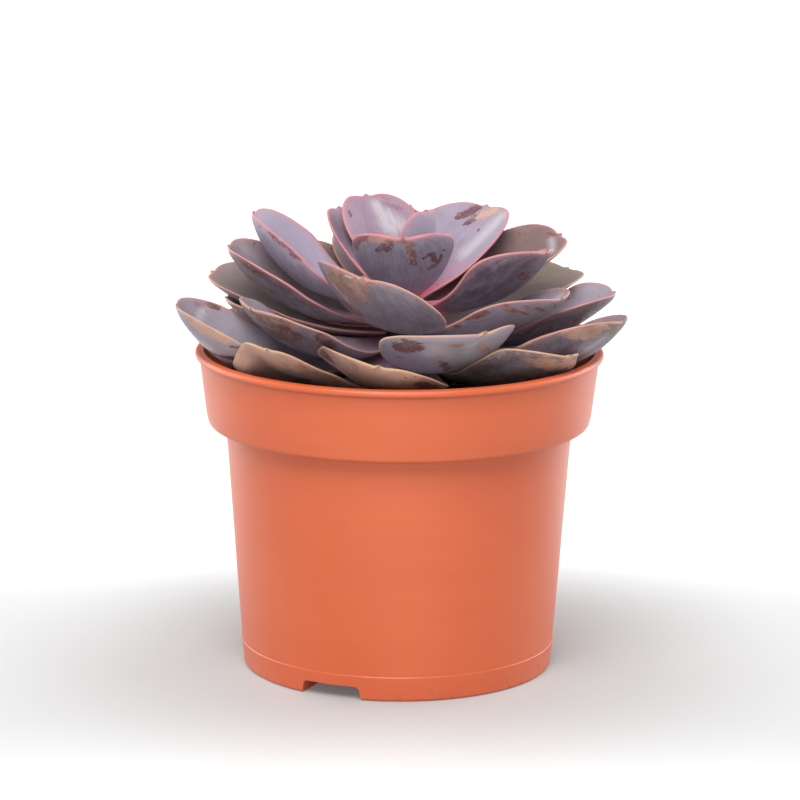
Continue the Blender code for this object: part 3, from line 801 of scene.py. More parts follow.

# Marks on the leaves, for each leaf and face. They were chosen on the photograph: the kind, the pixels where
# the mark starts and ends, half its width in pixels, and its strength. The kind is a tone, from dark red (0)
# to tan (1), where the skin is rubbed or scarred, or a word: pale for thick powder, and for painted highlight
# on the upper faces of leaves 4, 7 and 29, dull for thin powder, rose, olive for a greenish-brown painted
# shade, moss or dirt.
Mark = collections.namedtuple("Mark", "kind start_x start_y end_x end_y half_width strength")
MARKS = {
    (8, "under"): (
        ("dirt", 262, 218, 284, 229, 1.2, 1.2), (0.45, 272, 226, 286, 240, 4.5, 1),
        (0.12, 290, 246, 303, 252, 2.8, 1), (0.1, 290, 252, 295, 259, 1.3, 0.9),
        ("pale", 283, 231, 286, 232, 1.6, 1), ("pale", 264, 222, 270, 236, 2, 0.6),),
    (15, "under"): (
        (0.3, 228, 249, 241, 259, 2.6, 1), (0.03, 244, 262, 253, 269, 3.2, 1.1),
        (0.03, 256, 271, 265, 274, 1.4, 1), ("rose", 296, 288, 325, 294, 3, 0.8),),
    # Painted shade on this upper face: a greenish-brown tint where the leaf above shades it
    (15, "upper"): (
        ("olive", 285, 281, 322, 283, 7, 1), ("olive", 262, 262, 296, 275, 8, 0.8),),
    (20, "upper"): (
        (0.3, 281, 303, 283, 304, 1.2, 0.9),),
    (25, "under"): (
        (0.85, 222, 297, 237, 308, 4, 0.9),),
    (22, "under"): (
        (0.85, 239, 299, 244, 313, 4, 1.2), (0.5, 253, 312, 290, 321, 7, 1.2),
        (0.42, 260, 330, 287, 334, 10, 1.1), (0.15, 281, 327, 296, 334, 5, 1.2),
        (0.08, 318, 335, 331, 346, 4.5, 1.2), ("moss", 251, 306, 257, 312, 1.8, 1),),
    (22, "upper"): (
        ("pale", 322, 323, 352, 340, 3, 1),),
    # The pale mark on this upper face is a painted highlight, a band where light falls on the blade
    (29, "upper"): (
        ("pale", 205, 303, 222, 333, 4.2, 1.1), (0.2, 209, 303, 217, 306, 3.8, 1),
        ("rose", 195, 301, 207, 302, 4.5, 0.8),),
    (29, "under"): (
        (1, 190, 314, 226, 338, 6.5, 0.9), ("pale", 192, 335, 206, 346, 5, 1),
        ("dirt", 202, 348, 238, 358, 4, 1), (0.1, 232, 346, 238, 348, 1.4, 1.1),),
    (34, "under"): (
        ("pale", 288, 371, 312, 378, 6, 0.9), (0.8, 298, 368, 336, 381, 7, 1.1),
        (0.85, 262, 358, 290, 366, 6, 1), (0.35, 300, 379, 307, 379, 3, 1.2),),
    (26, "under"): (
        (0.4, 321, 352, 330, 358, 5, 1), (0.85, 390, 379, 436, 386, 6, 1.1),
        (0.9, 350, 368, 392, 378, 7, 1), ("pale", 325, 362, 342, 380, 2.4, 1.1),
        ("moss", 364, 387, 382, 388, 5, 1), (0.3, 420, 383, 435, 388, 4, 1.1),
        ("dirt", 334, 372, 345, 386, 3, 0.5),),
    (23, "under"): (
        (0.35, 399, 347, 424, 345, 6.5, 1.1), (0.3, 404, 339, 421, 341, 2.6, 1),
        (0.85, 430, 341, 462, 343, 3.4, 1), (0.6, 458, 349, 462, 353, 4, 1),
        (0.5, 460, 354, 461, 363, 3, 1), (0.4, 445, 358, 447, 370, 4, 1.1),
        (0.45, 450, 372, 466, 368, 3.4, 1), (0.75, 478, 344, 489, 348, 4.5, 1),
        (0.5, 478, 361, 501, 349, 2.6, 1), (0.7, 486, 355, 497, 345, 2.2, 0.8),
        ("dull", 408, 357, 436, 371, 6, 0.9), ("pale", 430, 352, 446, 350, 5, 0.9),
        ("pale", 438, 347, 496, 350, 6, 0.8), ("pale", 468, 359, 486, 357, 5, 0.9),
        ("pale", 467, 352, 474, 357, 5, 1), ("pale", 468, 345, 474, 345, 3, 0.8),
        ("pale", 452, 358, 455, 364, 3, 0.8), ("pale", 503, 340, 509, 336, 3, 0.7),),
    (14, "under"): (
        (0.6, 332, 270, 359, 276, 12, 1.4), (0.6, 336, 286, 356, 292, 13, 1.4),
        (0.58, 342, 303, 354, 309, 10, 1.3), ("pale", 333, 283, 337, 288, 3, 0.9),
        ("pale", 343, 294, 346, 299, 3, 0.9), ("pale", 337, 300, 342, 312, 2.2, 0.8),
        ("pale", 351, 272, 352, 276, 1.2, 0.9), ("olive", 376, 320, 387, 323, 8, 0.55),),
    (5, "under"): (
        (0.35, 355, 246, 360, 236, 3.6, 1.1), (0.5, 362, 234, 372, 230, 3.4, 1.1),
        (0.8, 374, 230, 391, 232, 3, 1.1), (0.5, 391, 232, 400, 235, 1.6, 1),
        (0.15, 379, 248, 384, 243, 2.8, 1), (0.08, 384, 256, 393, 239, 1.3, 1.1),
        (0.15, 404, 238, 405, 243, 2.2, 1.1), (0.45, 408, 243, 414, 264, 6, 0.6),
        (0.08, 424, 257, 431, 250, 1.7, 1), (0.2, 431, 252, 436, 262, 2.3, 1),
        (0.12, 438, 262, 444, 249, 1.4, 1), (0.25, 431, 268, 438, 262, 4, 0.75),
        (0.05, 455, 243, 456, 256, 1.5, 1),),
    # The pale mark on this upper face is a painted highlight on the side that faces the light
    (7, "upper"): (
        (0.2, 463, 214, 479, 206, 5.5, 1), (0.2, 467, 223, 481, 214, 4.2, 0.9),
        (0.85, 485, 214, 499, 207, 6.5, 0.9), (0.15, 478, 231, 481, 226, 1.3, 1),
        ("pale", 505, 213, 466, 252, 6.5, 1), ("rose", 425, 277, 462, 264, 6, 0.45),
        (0.3, 458, 217, 462, 212, 2, 0.8),),
    # The pale marks on this upper face are painted highlight, where light falls on the curve of the blade
    (4, "upper"): (
        ("pale", 376, 203, 388, 228, 5, 1), ("pale", 386, 212, 400, 226, 5, 0.9),
        ("pale", 384, 222, 392, 228, 6, 0.9), (0.1, 348, 209, 350, 214, 1.6, 1),
        ("dull", 380, 199, 400, 206, 2.5, 0.8),),
    (10, "upper"): (
        (0.5, 404, 206, 421, 206, 3.5, 1),),
    (6, "upper"): (
        (0.15, 333, 237, 336, 244, 1.6, 1),),
    (9, "under"): (
        (0.12, 523, 273, 526, 278, 4, 1.2), (0.2, 529, 273, 530, 277, 2, 1),
        (0.3, 523, 257, 526, 258, 1.8, 1),),
    (11, "upper"): (
        (1, 537, 253, 545, 250, 4, 1), (0.4, 552, 231, 558, 233, 2, 1),
        ("pale", 551, 240, 556, 250, 3.2, 0.9),),
    (19, "upper"): (
        ("dirt", 540, 276, 562, 272, 2, 0.4), ("rose", 563, 283, 576, 281, 3, 0.5),),
    (24, "under"): (
        (0.15, 588, 318, 590, 312, 2, 1.1), (0.35, 601, 307, 597, 314, 3, 1.1),
        (0.12, 576, 320, 583, 318, 2.4, 1), (0.95, 604, 309, 612, 300, 3.5, 1.1),
        (0.2, 591, 304, 593, 303, 1.3, 1),),
    (18, "under"): (
        (0.5, 504, 305, 518, 311, 4, 1.1), (0.4, 520, 310, 529, 312, 1.9, 1),
        (0.35, 464, 318, 486, 312, 2.8, 1.1), (0.7, 530, 304, 532, 307, 1.8, 1),
        (0.5, 541, 305, 547, 309, 2.4, 1), (0.4, 557, 303, 558, 309, 2, 1),
        (0.02, 524, 319, 525, 320, 1.3, 1.1), (0.15, 452, 325, 460, 327, 2.4, 0.9),
        ("rose", 436, 315, 447, 320, 4.5, 1.1),),
    (18, "upper"): (
        (0.4, 535, 300, 538, 301, 1.8, 1), ("pale", 548, 299, 561, 296, 6, 1.1),),
    (30, "under"): (
        (0.7, 570, 332, 598, 331, 6, 1.2), (0.7, 585, 325, 606, 322, 4, 1.1),
        ("olive", 611, 325, 620, 326, 6, 1.2), ("pale", 590, 347, 606, 336, 5, 0.7),),
    (33, "under"): (
        (0.7, 531, 360, 541, 364, 6.5, 1.1), (0.75, 515, 369, 548, 376, 6, 1),
        ("pale", 508, 372, 526, 366, 5, 0.6), (0.85, 550, 359, 562, 366, 8, 1),
        (0.9, 569, 357, 577, 362, 4.5, 1.1), ("moss", 556, 374, 566, 376, 2.4, 1),
        ("moss", 545, 352, 560, 353, 2.5, 0.45),),
}
WORD_KINDS = ("pale", "dull", "rose", "olive", "moss", "dirt")


def note(mesh, name, values):
    """Keeps one value for each vertex, which the materials read by name."""
    mesh.attributes.new(name, "FLOAT", "POINT").data.foreach_set("value", np.asarray(values, np.float32))


def nearness(flat, leaf, start, end, reach):
    """1 on the line between two places of the flat blade, falling to 0 at the reach from it."""
    def place(along, across):
        half = half_width(np.array([along]), leaf.width)[0]
        return np.array((across * half, along * leaf.length))
    a, b = place(*start), place(*end)
    line = b - a
    length = max(float(line @ line), 1e-6)
    share = np.clip(((flat - a) @ line) / length, 0, 1)
    return 1 - np.linalg.norm(flat - a - share[..., None] * line, axis=-1) / reach


def seen_marks(number, points, faces, levels):
    """The leaf's marks: kind, whether it is below, its two ends on the blade, reach in mm and strength."""
    tree = BVHTree.FromPolygons(points, faces)
    for (which, face), rows in MARKS.items():
        for mark in (Mark(*row) for row in rows if which == number):
            start = seen_near(tree, points, faces, levels, face, mark.start_x, mark.start_y)
            end = seen_near(tree, points, faces, levels, face, mark.end_x, mark.end_y)
            if start is None and end is None:
                continue
            pale = mark.kind == "pale"
            reach = round(mark.half_width * (PALE_REACH if pale else MARK_REACH), 1)
            yield (mark.kind, face == "under", start or end, end or start, reach,
                   mark.strength * (PALE_STRENGTH if pale else 1))


def leaf_object(number, leaf, skin, faces, flat, finish, low, high):
    """One leaf with everything that its material reads from it."""
    skin = np.clip(np.array(skin) * MM, low, high) / MM
    obj = add_mesh("echeveria_leaf_%02d" % number, skin, faces, finish, 180.0)
    mesh = obj.data
    s, t = fine_places()
    total = len(skin)
    side = np.concatenate([np.zeros(STATIONS * COLUMNS), np.ones(STATIONS * (COLUMNS - 2)), [0.5]])

    def on_both(grid, at_tip):
        return np.concatenate([grid.reshape(-1), grid[:, 1:-1].reshape(-1), [at_tip]])

    along = on_both(np.repeat(s[:, None], COLUMNS, 1), 1.0)
    own = Skin(*SKINS.get(number, PLAIN_SKIN))
    tip_gap = np.hypot(flat[..., 0], flat[..., 1] - flat[-1, :, 1].max())
    levels = {
        "along": along, "across": on_both(np.repeat(t[None], STATIONS, 0), 0.0), "under": side,
        "edge": on_both(margin_distance(flat), 0.0), "from_tip": on_both(tip_gap, 0.0),
        "own": np.full(total, number * OWN_STEP), "rim": np.full(total, own.rim),
        "powder": own.powder_above + (own.powder_below - own.powder_above) * side,
        "worn": own.worn_above + (own.worn_below - own.worn_above) * side,
        "tone": np.full(total, float(own.tone)), "olive": own.olive * (1 - side),
        "pale": np.zeros(total), "rose": np.zeros(total), "moss": np.zeros(total), "dirt": np.zeros(total),
    }
    points, places = [Vector(p) for p in skin], (levels["along"], levels["across"], side)
    for kind, below, start, end, reach, strength in seen_marks(number, points, faces, places):
        near = np.clip(on_both(nearness(flat, leaf, start, end, reach), 0.0), -1, 1)
        near = np.maximum(near * (side if below else 1 - side), 0) * strength
        if kind not in WORD_KINDS:
            levels["tone"] = np.where(near > TONE_FROM, kind, levels["tone"])
            levels["worn"] = np.maximum(levels["worn"], near)
        elif kind == "pale":
            levels["pale"] = np.maximum(levels["pale"], near)
            levels["worn"] = levels["worn"] * (1 - np.clip(near * PALE_CLEARS, 0, 1))
        elif kind == "dull":
            levels["powder"] = levels["powder"] - near * DULL_TAKES
        else:
            levels[kind] = np.maximum(levels[kind], near)
    for name, values in levels.items():
        note(mesh, name, values)
    return obj


# Node trees

class Tree:
    """Short calls for adding nodes to one tree and joining them."""

    def __init__(self, tree):
        self.tree = tree

    def node(self, kind, **values):
        made = self.tree.nodes.new(kind)
        for key, value in values.items():
            setattr(made, key, value)
        return made

    def join(self, source, target):
        self.tree.links.new(source, target)

    def feed(self, socket, value):
        if isinstance(value, bpy.types.NodeSocket):
            self.join(value, socket)
        else:
            socket.default_value = value

    def value_of(self, name):
        """A value kept on the mesh."""
        return self.node("ShaderNodeAttribute", attribute_name=name).outputs["Fac"]

    def place(self):
        return self.node("ShaderNodeTexCoord").outputs["Object"]

    def sum(self, a, b, how="ADD", clamp=False):
        made = self.node("ShaderNodeMath", operation=how, use_clamp=clamp)
        self.feed(made.inputs[0], a)
        self.feed(made.inputs[1], b)
        return made.outputs[0]

    def times(self, a, b):
        return self.sum(a, b, "MULTIPLY")

    def swing(self, noise, amount):
        """The noise's difference from its middle, times the amount."""
        return self.times(self.sum(noise, 0.5, "SUBTRACT"), amount)

    def range(self, value, low, high, to_low=0.0, to_high=1.0, smooth=True):
        made = self.node("ShaderNodeMapRange", interpolation_type="SMOOTHSTEP" if smooth else "LINEAR")
        self.feed(made.inputs["Value"], value)
        for name, number in (("From Min", low), ("From Max", high), ("To Min", to_low), ("To Max", to_high)):
            self.feed(made.inputs[name], number)
        return made.outputs["Result"]

    def mix(self, share, a, b, how="MIX"):
        made = self.node("ShaderNodeMix", data_type="RGBA", blend_type=how)
        self.feed(made.inputs["Factor"], share)
        self.feed(made.inputs["A"], a)
        self.feed(made.inputs["B"], b)
        return made.outputs["Result"]

    def noise(self, vector, scale, detail=3.0, rough=0.5, warp=0.0):
        made = self.node("ShaderNodeTexNoise")
        self.feed(made.inputs["Vector"], vector)
        self.feed(made.inputs["Scale"], scale)
        self.feed(made.inputs["Detail"], detail)
        self.feed(made.inputs["Roughness"], rough)
        self.feed(made.inputs["Distortion"], warp)
        return made.outputs["Fac"]

    def vector(self, x, y, z):
        made = self.node("ShaderNodeCombineXYZ")
        for socket, value in zip(made.inputs, (x, y, z)):
            self.feed(socket, value)
        return made.outputs[0]

    def shifted(self, vector, by):
        made = self.node("ShaderNodeVectorMath", operation="ADD")
        self.join(vector, made.inputs[0])
        self.join(by, made.inputs[1])
        return made.outputs[0]

    def bump(self, height, strength, distance):
        made = self.node("ShaderNodeBump")
        made.inputs["Strength"].default_value = strength
        made.inputs["Distance"].default_value = distance
        self.join(height, made.inputs["Height"])
        return made.outputs[0]


def new_group(name, kind, inputs, outputs):
    """A node group with named sockets. Returns the group, its Tree and its input and output nodes."""
    group = bpy.data.node_groups.new(name, kind)
    for direction, sockets in (("INPUT", inputs), ("OUTPUT", outputs)):
        for label, socket_type, *rest in sockets:
            made = group.interface.new_socket(name=label, in_out=direction, socket_type=socket_type)
            if rest:
                made.default_value = rest[0]
    tree = Tree(group)
    return group, tree, tree.node("NodeGroupInput").outputs, tree.node("NodeGroupOutput").inputs


def new_material(name, roughness, base):
    """A material, its Tree and its shader."""
    made = bpy.data.materials.new(name)
    made.use_nodes = True
    made.diffuse_color = base
    shader = made.node_tree.nodes["Principled BSDF"]
    shader.inputs["Roughness"].default_value = roughness
    return made, Tree(made.node_tree), shader


def placed_group(tree, group, values):
    """The group in a material, with its own values."""
    made = tree.node("ShaderNodeGroup", node_tree=group)
    for name, value in values.items():
        tree.feed(made.inputs[name], value)
    return made.outputs


COLOUR, NUMBER = "NodeSocketColor", "NodeSocketFloat"


def waxy_skin_group():
    """Fleshy leaf skin: mauve flesh under a powdery bloom, a thin coloured margin, a pink base and wear."""
    group, tree, given, wanted = new_group("waxy leaf skin", "ShaderNodeTree", (
        ("Flesh", COLOUR), ("Underside", COLOUR), ("Bloom", COLOUR), ("Thick Bloom", COLOUR),
        ("Olive", COLOUR),
        ("Rose Margin", COLOUR), ("Tan Margin", COLOUR), ("Blush", COLOUR), ("Dark Wear", COLOUR),
        ("Rust Wear", COLOUR), ("Tan Wear", COLOUR), ("Moss", COLOUR), ("Dirt", COLOUR), ("Dry Tip", COLOUR),
        ("Margin Width", NUMBER), ("Flush", NUMBER), ("Blush Reach", NUMBER), ("Speckle", NUMBER)),
        (("Color", COLOUR), ("Roughness", NUMBER), ("Height", NUMBER)))
    along, across, edge = tree.value_of("along"), tree.value_of("across"), tree.value_of("edge")
    under, own = tree.value_of("under"), tree.value_of("own")
    place = tree.shifted(tree.place(), tree.vector(own, own, own))
    soft = tree.noise(place, 60.0, 3.0, 0.5)
    cloud = tree.noise(place, 210.0, 5.0, 0.62)
    fine = tree.noise(place, 1300.0, 3.0, 0.6)
    bent = tree.sum(tree.times(across, 7.0), tree.swing(soft, 3.0))
    streak = tree.noise(tree.vector(bent, tree.times(along, 1.1), own), 2.6, 4.0, 0.66)
    drawn = tree.noise(tree.vector(tree.times(across, 30.0), tree.times(along, 5.0), own), 1.6, 3.0, 0.6)

    # The underside has its own darker tone, made darker still as painted shade, since it faces down away from
    # the light
    flesh = tree.mix(under, given["Flesh"], given["Underside"])
    # Painted shade: a greenish-brown tint on the faces of leaves that lie under others
    olive = tree.times(tree.value_of("olive"), tree.range(soft, 0.30, 0.60, 0.55, 1.0))
    flesh = tree.mix(olive, flesh, given["Olive"])
    # The bloom lies in soft clouds and faint streaks, and is thin under the painted shade, which darkens the
    # leaf further
    powder = tree.sum(tree.value_of("powder"), tree.swing(cloud, 0.75))
    powder = tree.sum(powder, tree.swing(streak, 0.75))
    powder = tree.sum(powder, tree.swing(fine, 0.4))
    powder = tree.times(powder, tree.sum(1.0, tree.times(olive, 0.7), "SUBTRACT"))
    powder = tree.sum(powder, 0.0, clamp=True)
    colour = tree.mix(powder, flesh, given["Bloom"])
    # Pale marks give thick powder, and on the upper faces of leaves 4, 7 and 29 a painted highlight
    pale = tree.value_of("pale")
    thick = tree.range(tree.sum(pale, tree.swing(streak, 0.7)), 0.0, 0.9)
    thick = tree.times(thick, tree.range(pale, 0.0, 0.15))
    colour = tree.mix(tree.times(thick, 0.9), colour, given["Thick Bloom"])
    # Pink towards the stem, strongest in the young leaves
    blush = tree.range(along, 0.0, given["Blush Reach"], 1.0, 0.0)
    blush = tree.times(blush, tree.range(soft, 0.2, 0.6, 0.7, 1.0))
    rose = tree.times(tree.value_of("rose"), tree.range(cloud, 0.3, 0.6, 0.4, 1.0))
    blush = tree.sum(blush, rose, clamp=True)
    colour = tree.mix(blush, colour, given["Blush"])
    # Wear with ragged borders, in a dark, a rusty and a tan tone, with powder left in its grain
    torn = tree.noise(place, 560.0, 5.0, 0.68)
    ragged = tree.sum(tree.swing(cloud, 0.8),
                      tree.swing(drawn, 0.8))
    ragged = tree.sum(ragged, tree.swing(torn, 1.0))
    level = tree.value_of("worn")
    worn = tree.range(tree.sum(level, ragged), 0.30, 0.44)
    worn = tree.times(worn, tree.range(level, 0.02, 0.12))
    worn = tree.times(worn, tree.range(tree.sum(fine, drawn), 0.75, 1.05, 0.8, 1.0))
    drift = tree.times(tree.sum(tree.sum(cloud, soft), 1.0, "SUBTRACT"), 0.8)
    hue = tree.sum(tree.value_of("tone"), drift, clamp=True)
    wear = tree.mix(tree.range(hue, 0.0, 0.45, 0.0, 1.0, False), given["Dark Wear"], given["Rust Wear"])
    wear = tree.mix(tree.range(hue, 0.45, 0.95, 0.0, 1.0, False), wear, given["Tan Wear"])
    left = tree.times(tree.range(tree.sum(fine, cloud), 1.0, 1.22), 0.4)
    wear = tree.mix(left, wear, given["Bloom"])
    colour = tree.mix(tree.times(worn, 0.9), colour, wear)
    # The margin, with a soft flush beside it
    rim = tree.sum(tree.value_of("rim"), tree.swing(soft, 0.9), clamp=True)
    margin = tree.mix(rim, given["Rose Margin"], given["Tan Margin"])
    flush = tree.range(edge, 0.3, 3.2, given["Flush"], 0.0)
    flush = tree.times(flush, tree.range(streak, 0.3, 0.7, 0.5, 1.0))
    colour = tree.mix(flush, colour, margin)
    line = tree.sum(edge, tree.swing(cloud, 0.7))
    line = tree.range(line, tree.times(given["Margin Width"], 0.4), given["Margin Width"], 0.9, 0.0)
    colour = tree.mix(tree.times(line, tree.range(soft, 0.3, 0.6, 0.65, 1.0)), colour, margin)
    # Specks where grit has knocked the bloom off, moss and soil
    speck = tree.range(tree.noise(place, 520.0, 2.0, 0.5), 0.68, 0.73)
    speck = tree.times(speck, tree.times(given["Speckle"], tree.range(soft, 0.45, 0.6)))
    colour = tree.mix(speck, colour, given["Dark Wear"])
    moss = tree.times(tree.value_of("moss"), tree.range(tree.sum(cloud, fine), 0.8, 1.15, 0.3, 1.0))
    colour = tree.mix(tree.sum(moss, 0.0, clamp=True), colour, given["Moss"])
    soiled = tree.value_of("dirt")
    dirt = tree.range(tree.sum(soiled, tree.swing(cloud, 1.6)), 0.35, 0.75)
    dirt = tree.times(dirt, tree.range(soiled, 0.02, 0.2))
    colour = tree.mix(tree.times(dirt, 0.9), colour, given["Dirt"])
    dry = tree.range(tree.sum(tree.value_of("from_tip"), cloud), 0.8, 1.4, 0.7, 0.0)
    colour = tree.mix(dry, colour, given["Dry Tip"])
    tree.join(colour, wanted["Color"])

    rough = tree.sum(tree.range(powder, 0.0, 1.0, 0.42, 0.60, False), tree.times(worn, 0.05))
    rough = tree.sum(rough, tree.swing(fine, 0.14))
    tree.join(rough, wanted["Roughness"])
    height = tree.sum(tree.times(streak, 0.35), tree.times(cloud, 0.35))
    height = tree.sum(height, tree.times(fine, 0.22))
    height = tree.sum(height, tree.times(worn, -0.10))
    tree.join(height, wanted["Height"])
    return group


def leaf_material(name, group, values):
    made, tree, shader = new_material(name, 0.55, values["Flesh"])
    out = placed_group(tree, group, values)
    tree.join(out["Color"], shader.inputs["Base Color"])
    tree.join(out["Roughness"], shader.inputs["Roughness"])
    tree.join(tree.bump(out["Height"], 0.35, 0.0009), shader.inputs["Normal"])
    shader.inputs["Specular IOR Level"].default_value = 0.42
    shader.inputs["Sheen Weight"].default_value = 0.05
    shader.inputs["Sheen Roughness"].default_value = 0.5
    shader.inputs["Subsurface Weight"].default_value = 0.12
    shader.inputs["Subsurface Radius"].default_value = (1.0, 0.4, 0.4)
    shader.inputs["Subsurface Scale"].default_value = 0.0018
    return made


def leaf_finishes():
    group = waxy_skin_group()
    shared = {
        # The first colour is the greenish-brown of the painted shade under other leaves
        "Olive": (0.225, 0.175, 0.118, 1), "Rose Margin": (0.70, 0.245, 0.285, 1),
        "Tan Margin": (0.70, 0.42, 0.225, 1), "Dark Wear": (0.115, 0.026, 0.024, 1),
        "Rust Wear": (0.200, 0.072, 0.052, 1), "Tan Wear": (0.64, 0.385, 0.275, 1),
        "Moss": (0.085, 0.095, 0.028, 1), "Dirt": (0.050, 0.034, 0.024, 1),
        # The last colour, the thick bloom, also paints the highlight of the pale marks on leaves 4, 7 and 29
        "Dry Tip": (0.20, 0.125, 0.085, 1), "Thick Bloom": (0.60, 0.555, 0.60, 1),
    }
    young = leaf_material("young waxy leaf", group, {
        **shared, "Flesh": (0.28, 0.135, 0.205, 1), "Underside": (0.095, 0.060, 0.083, 1),
        "Bloom": (0.395, 0.345, 0.440, 1), "Blush": (0.78, 0.20, 0.31, 1), "Margin Width": 0.8,
        "Flush": 0.20, "Blush Reach": 0.33, "Speckle": 0.45})
    old = leaf_material("old waxy leaf", group, {
        **shared, "Flesh": (0.26, 0.15, 0.19, 1), "Underside": (0.108, 0.068, 0.082, 1),
        "Bloom": (0.40, 0.355, 0.42, 1), "Blush": (0.32, 0.11, 0.18, 1), "Margin Width": 0.7, "Flush": 0.15,
        "Blush Reach": 0.34, "Speckle": 0.7})
    return young, old


def moulded_plastic():
    """Satin terracotta-coloured plastic: even colour with a faint cloudiness, fine pits and a little dust."""
    made, tree, shader = new_material("terracotta plastic", 0.40, (0.70, 0.126, 0.040, 1))
    place = tree.place()
    cloud = tree.noise(place, 26.0, 3.0, 0.5)
    grain = tree.noise(place, 1400.0, 2.0, 0.5)
    parts = tree.node("ShaderNodeSeparateXYZ")
    tree.join(place, parts.inputs[0])
    flow = tree.noise(tree.vector(tree.times(parts.outputs[0], 0.6), tree.times(parts.outputs[1], 0.6),
                                  tree.times(parts.outputs[2], 6.0)), 22.0, 3.0, 0.5)
    colour = tree.mix(tree.range(cloud, 0.3, 0.7), (0.685, 0.122, 0.037, 1), (0.715, 0.138, 0.045, 1))
    colour = tree.mix(tree.range(flow, 0.35, 0.7, 0.0, 0.35), colour, (0.665, 0.114, 0.035, 1))
    # A little dried soil low on the foot
    low = tree.range(parts.outputs[2], 0.0, 0.006, 0.30, 0.0)
    dust = tree.times(low, tree.range(tree.noise(place, 420.0, 5.0, 0.65), 0.5, 0.68))
    colour = tree.mix(dust, colour, (0.40, 0.085, 0.038, 1))
    tree.join(colour, shader.inputs["Base Color"])
    rough = tree.sum(tree.range(cloud, 0.3, 0.7, 0.34, 0.41), tree.times(dust, 0.6))
    tree.join(tree.sum(rough, tree.times(grain, 0.06)), shader.inputs["Roughness"])
    height = tree.sum(tree.times(grain, 0.25), tree.times(flow, 0.7))
    tree.join(tree.bump(height, 0.10, 0.0004), shader.inputs["Normal"])
    shader.inputs["Specular IOR Level"].default_value = 0.62
    return made


def earth_group():
    """Loose dark matter: two browns, pale grains and a rough height."""
    group, tree, given, wanted = new_group("earth", "ShaderNodeTree", (
        ("Dark", COLOUR), ("Light", COLOUR), ("Grain", COLOUR), ("Grain Share", NUMBER), ("Size", NUMBER)),
        (("Color", COLOUR), ("Roughness", NUMBER), ("Height", NUMBER)))
    place = tree.place()
    coarse = tree.noise(place, given["Size"], 6.0, 0.65)
    fine = tree.noise(place, tree.times(given["Size"], 5.0), 4.0, 0.6)
    colour = tree.mix(tree.range(coarse, 0.35, 0.7), given["Dark"], given["Light"])
    grain = tree.times(tree.range(fine, 0.64, 0.70), given["Grain Share"])
    tree.join(tree.mix(grain, colour, given["Grain"]), wanted["Color"])
    tree.join(tree.range(coarse, 0.3, 0.7, 0.85, 1.0), wanted["Roughness"])
    tree.join(tree.sum(coarse, tree.times(fine, 0.4)), wanted["Height"])
    return group


def earthy(name, group, values, strength):
    made, tree, shader = new_material(name, 0.95, values["Dark"])
    out = placed_group(tree, group, values)
    tree.join(out["Color"], shader.inputs["Base Color"])
    tree.join(out["Roughness"], shader.inputs["Roughness"])
    tree.join(tree.bump(out["Height"], strength, 0.001), shader.inputs["Normal"])
    shader.inputs["Specular IOR Level"].default_value = 0.25
    return made


# Loose matter on the soil

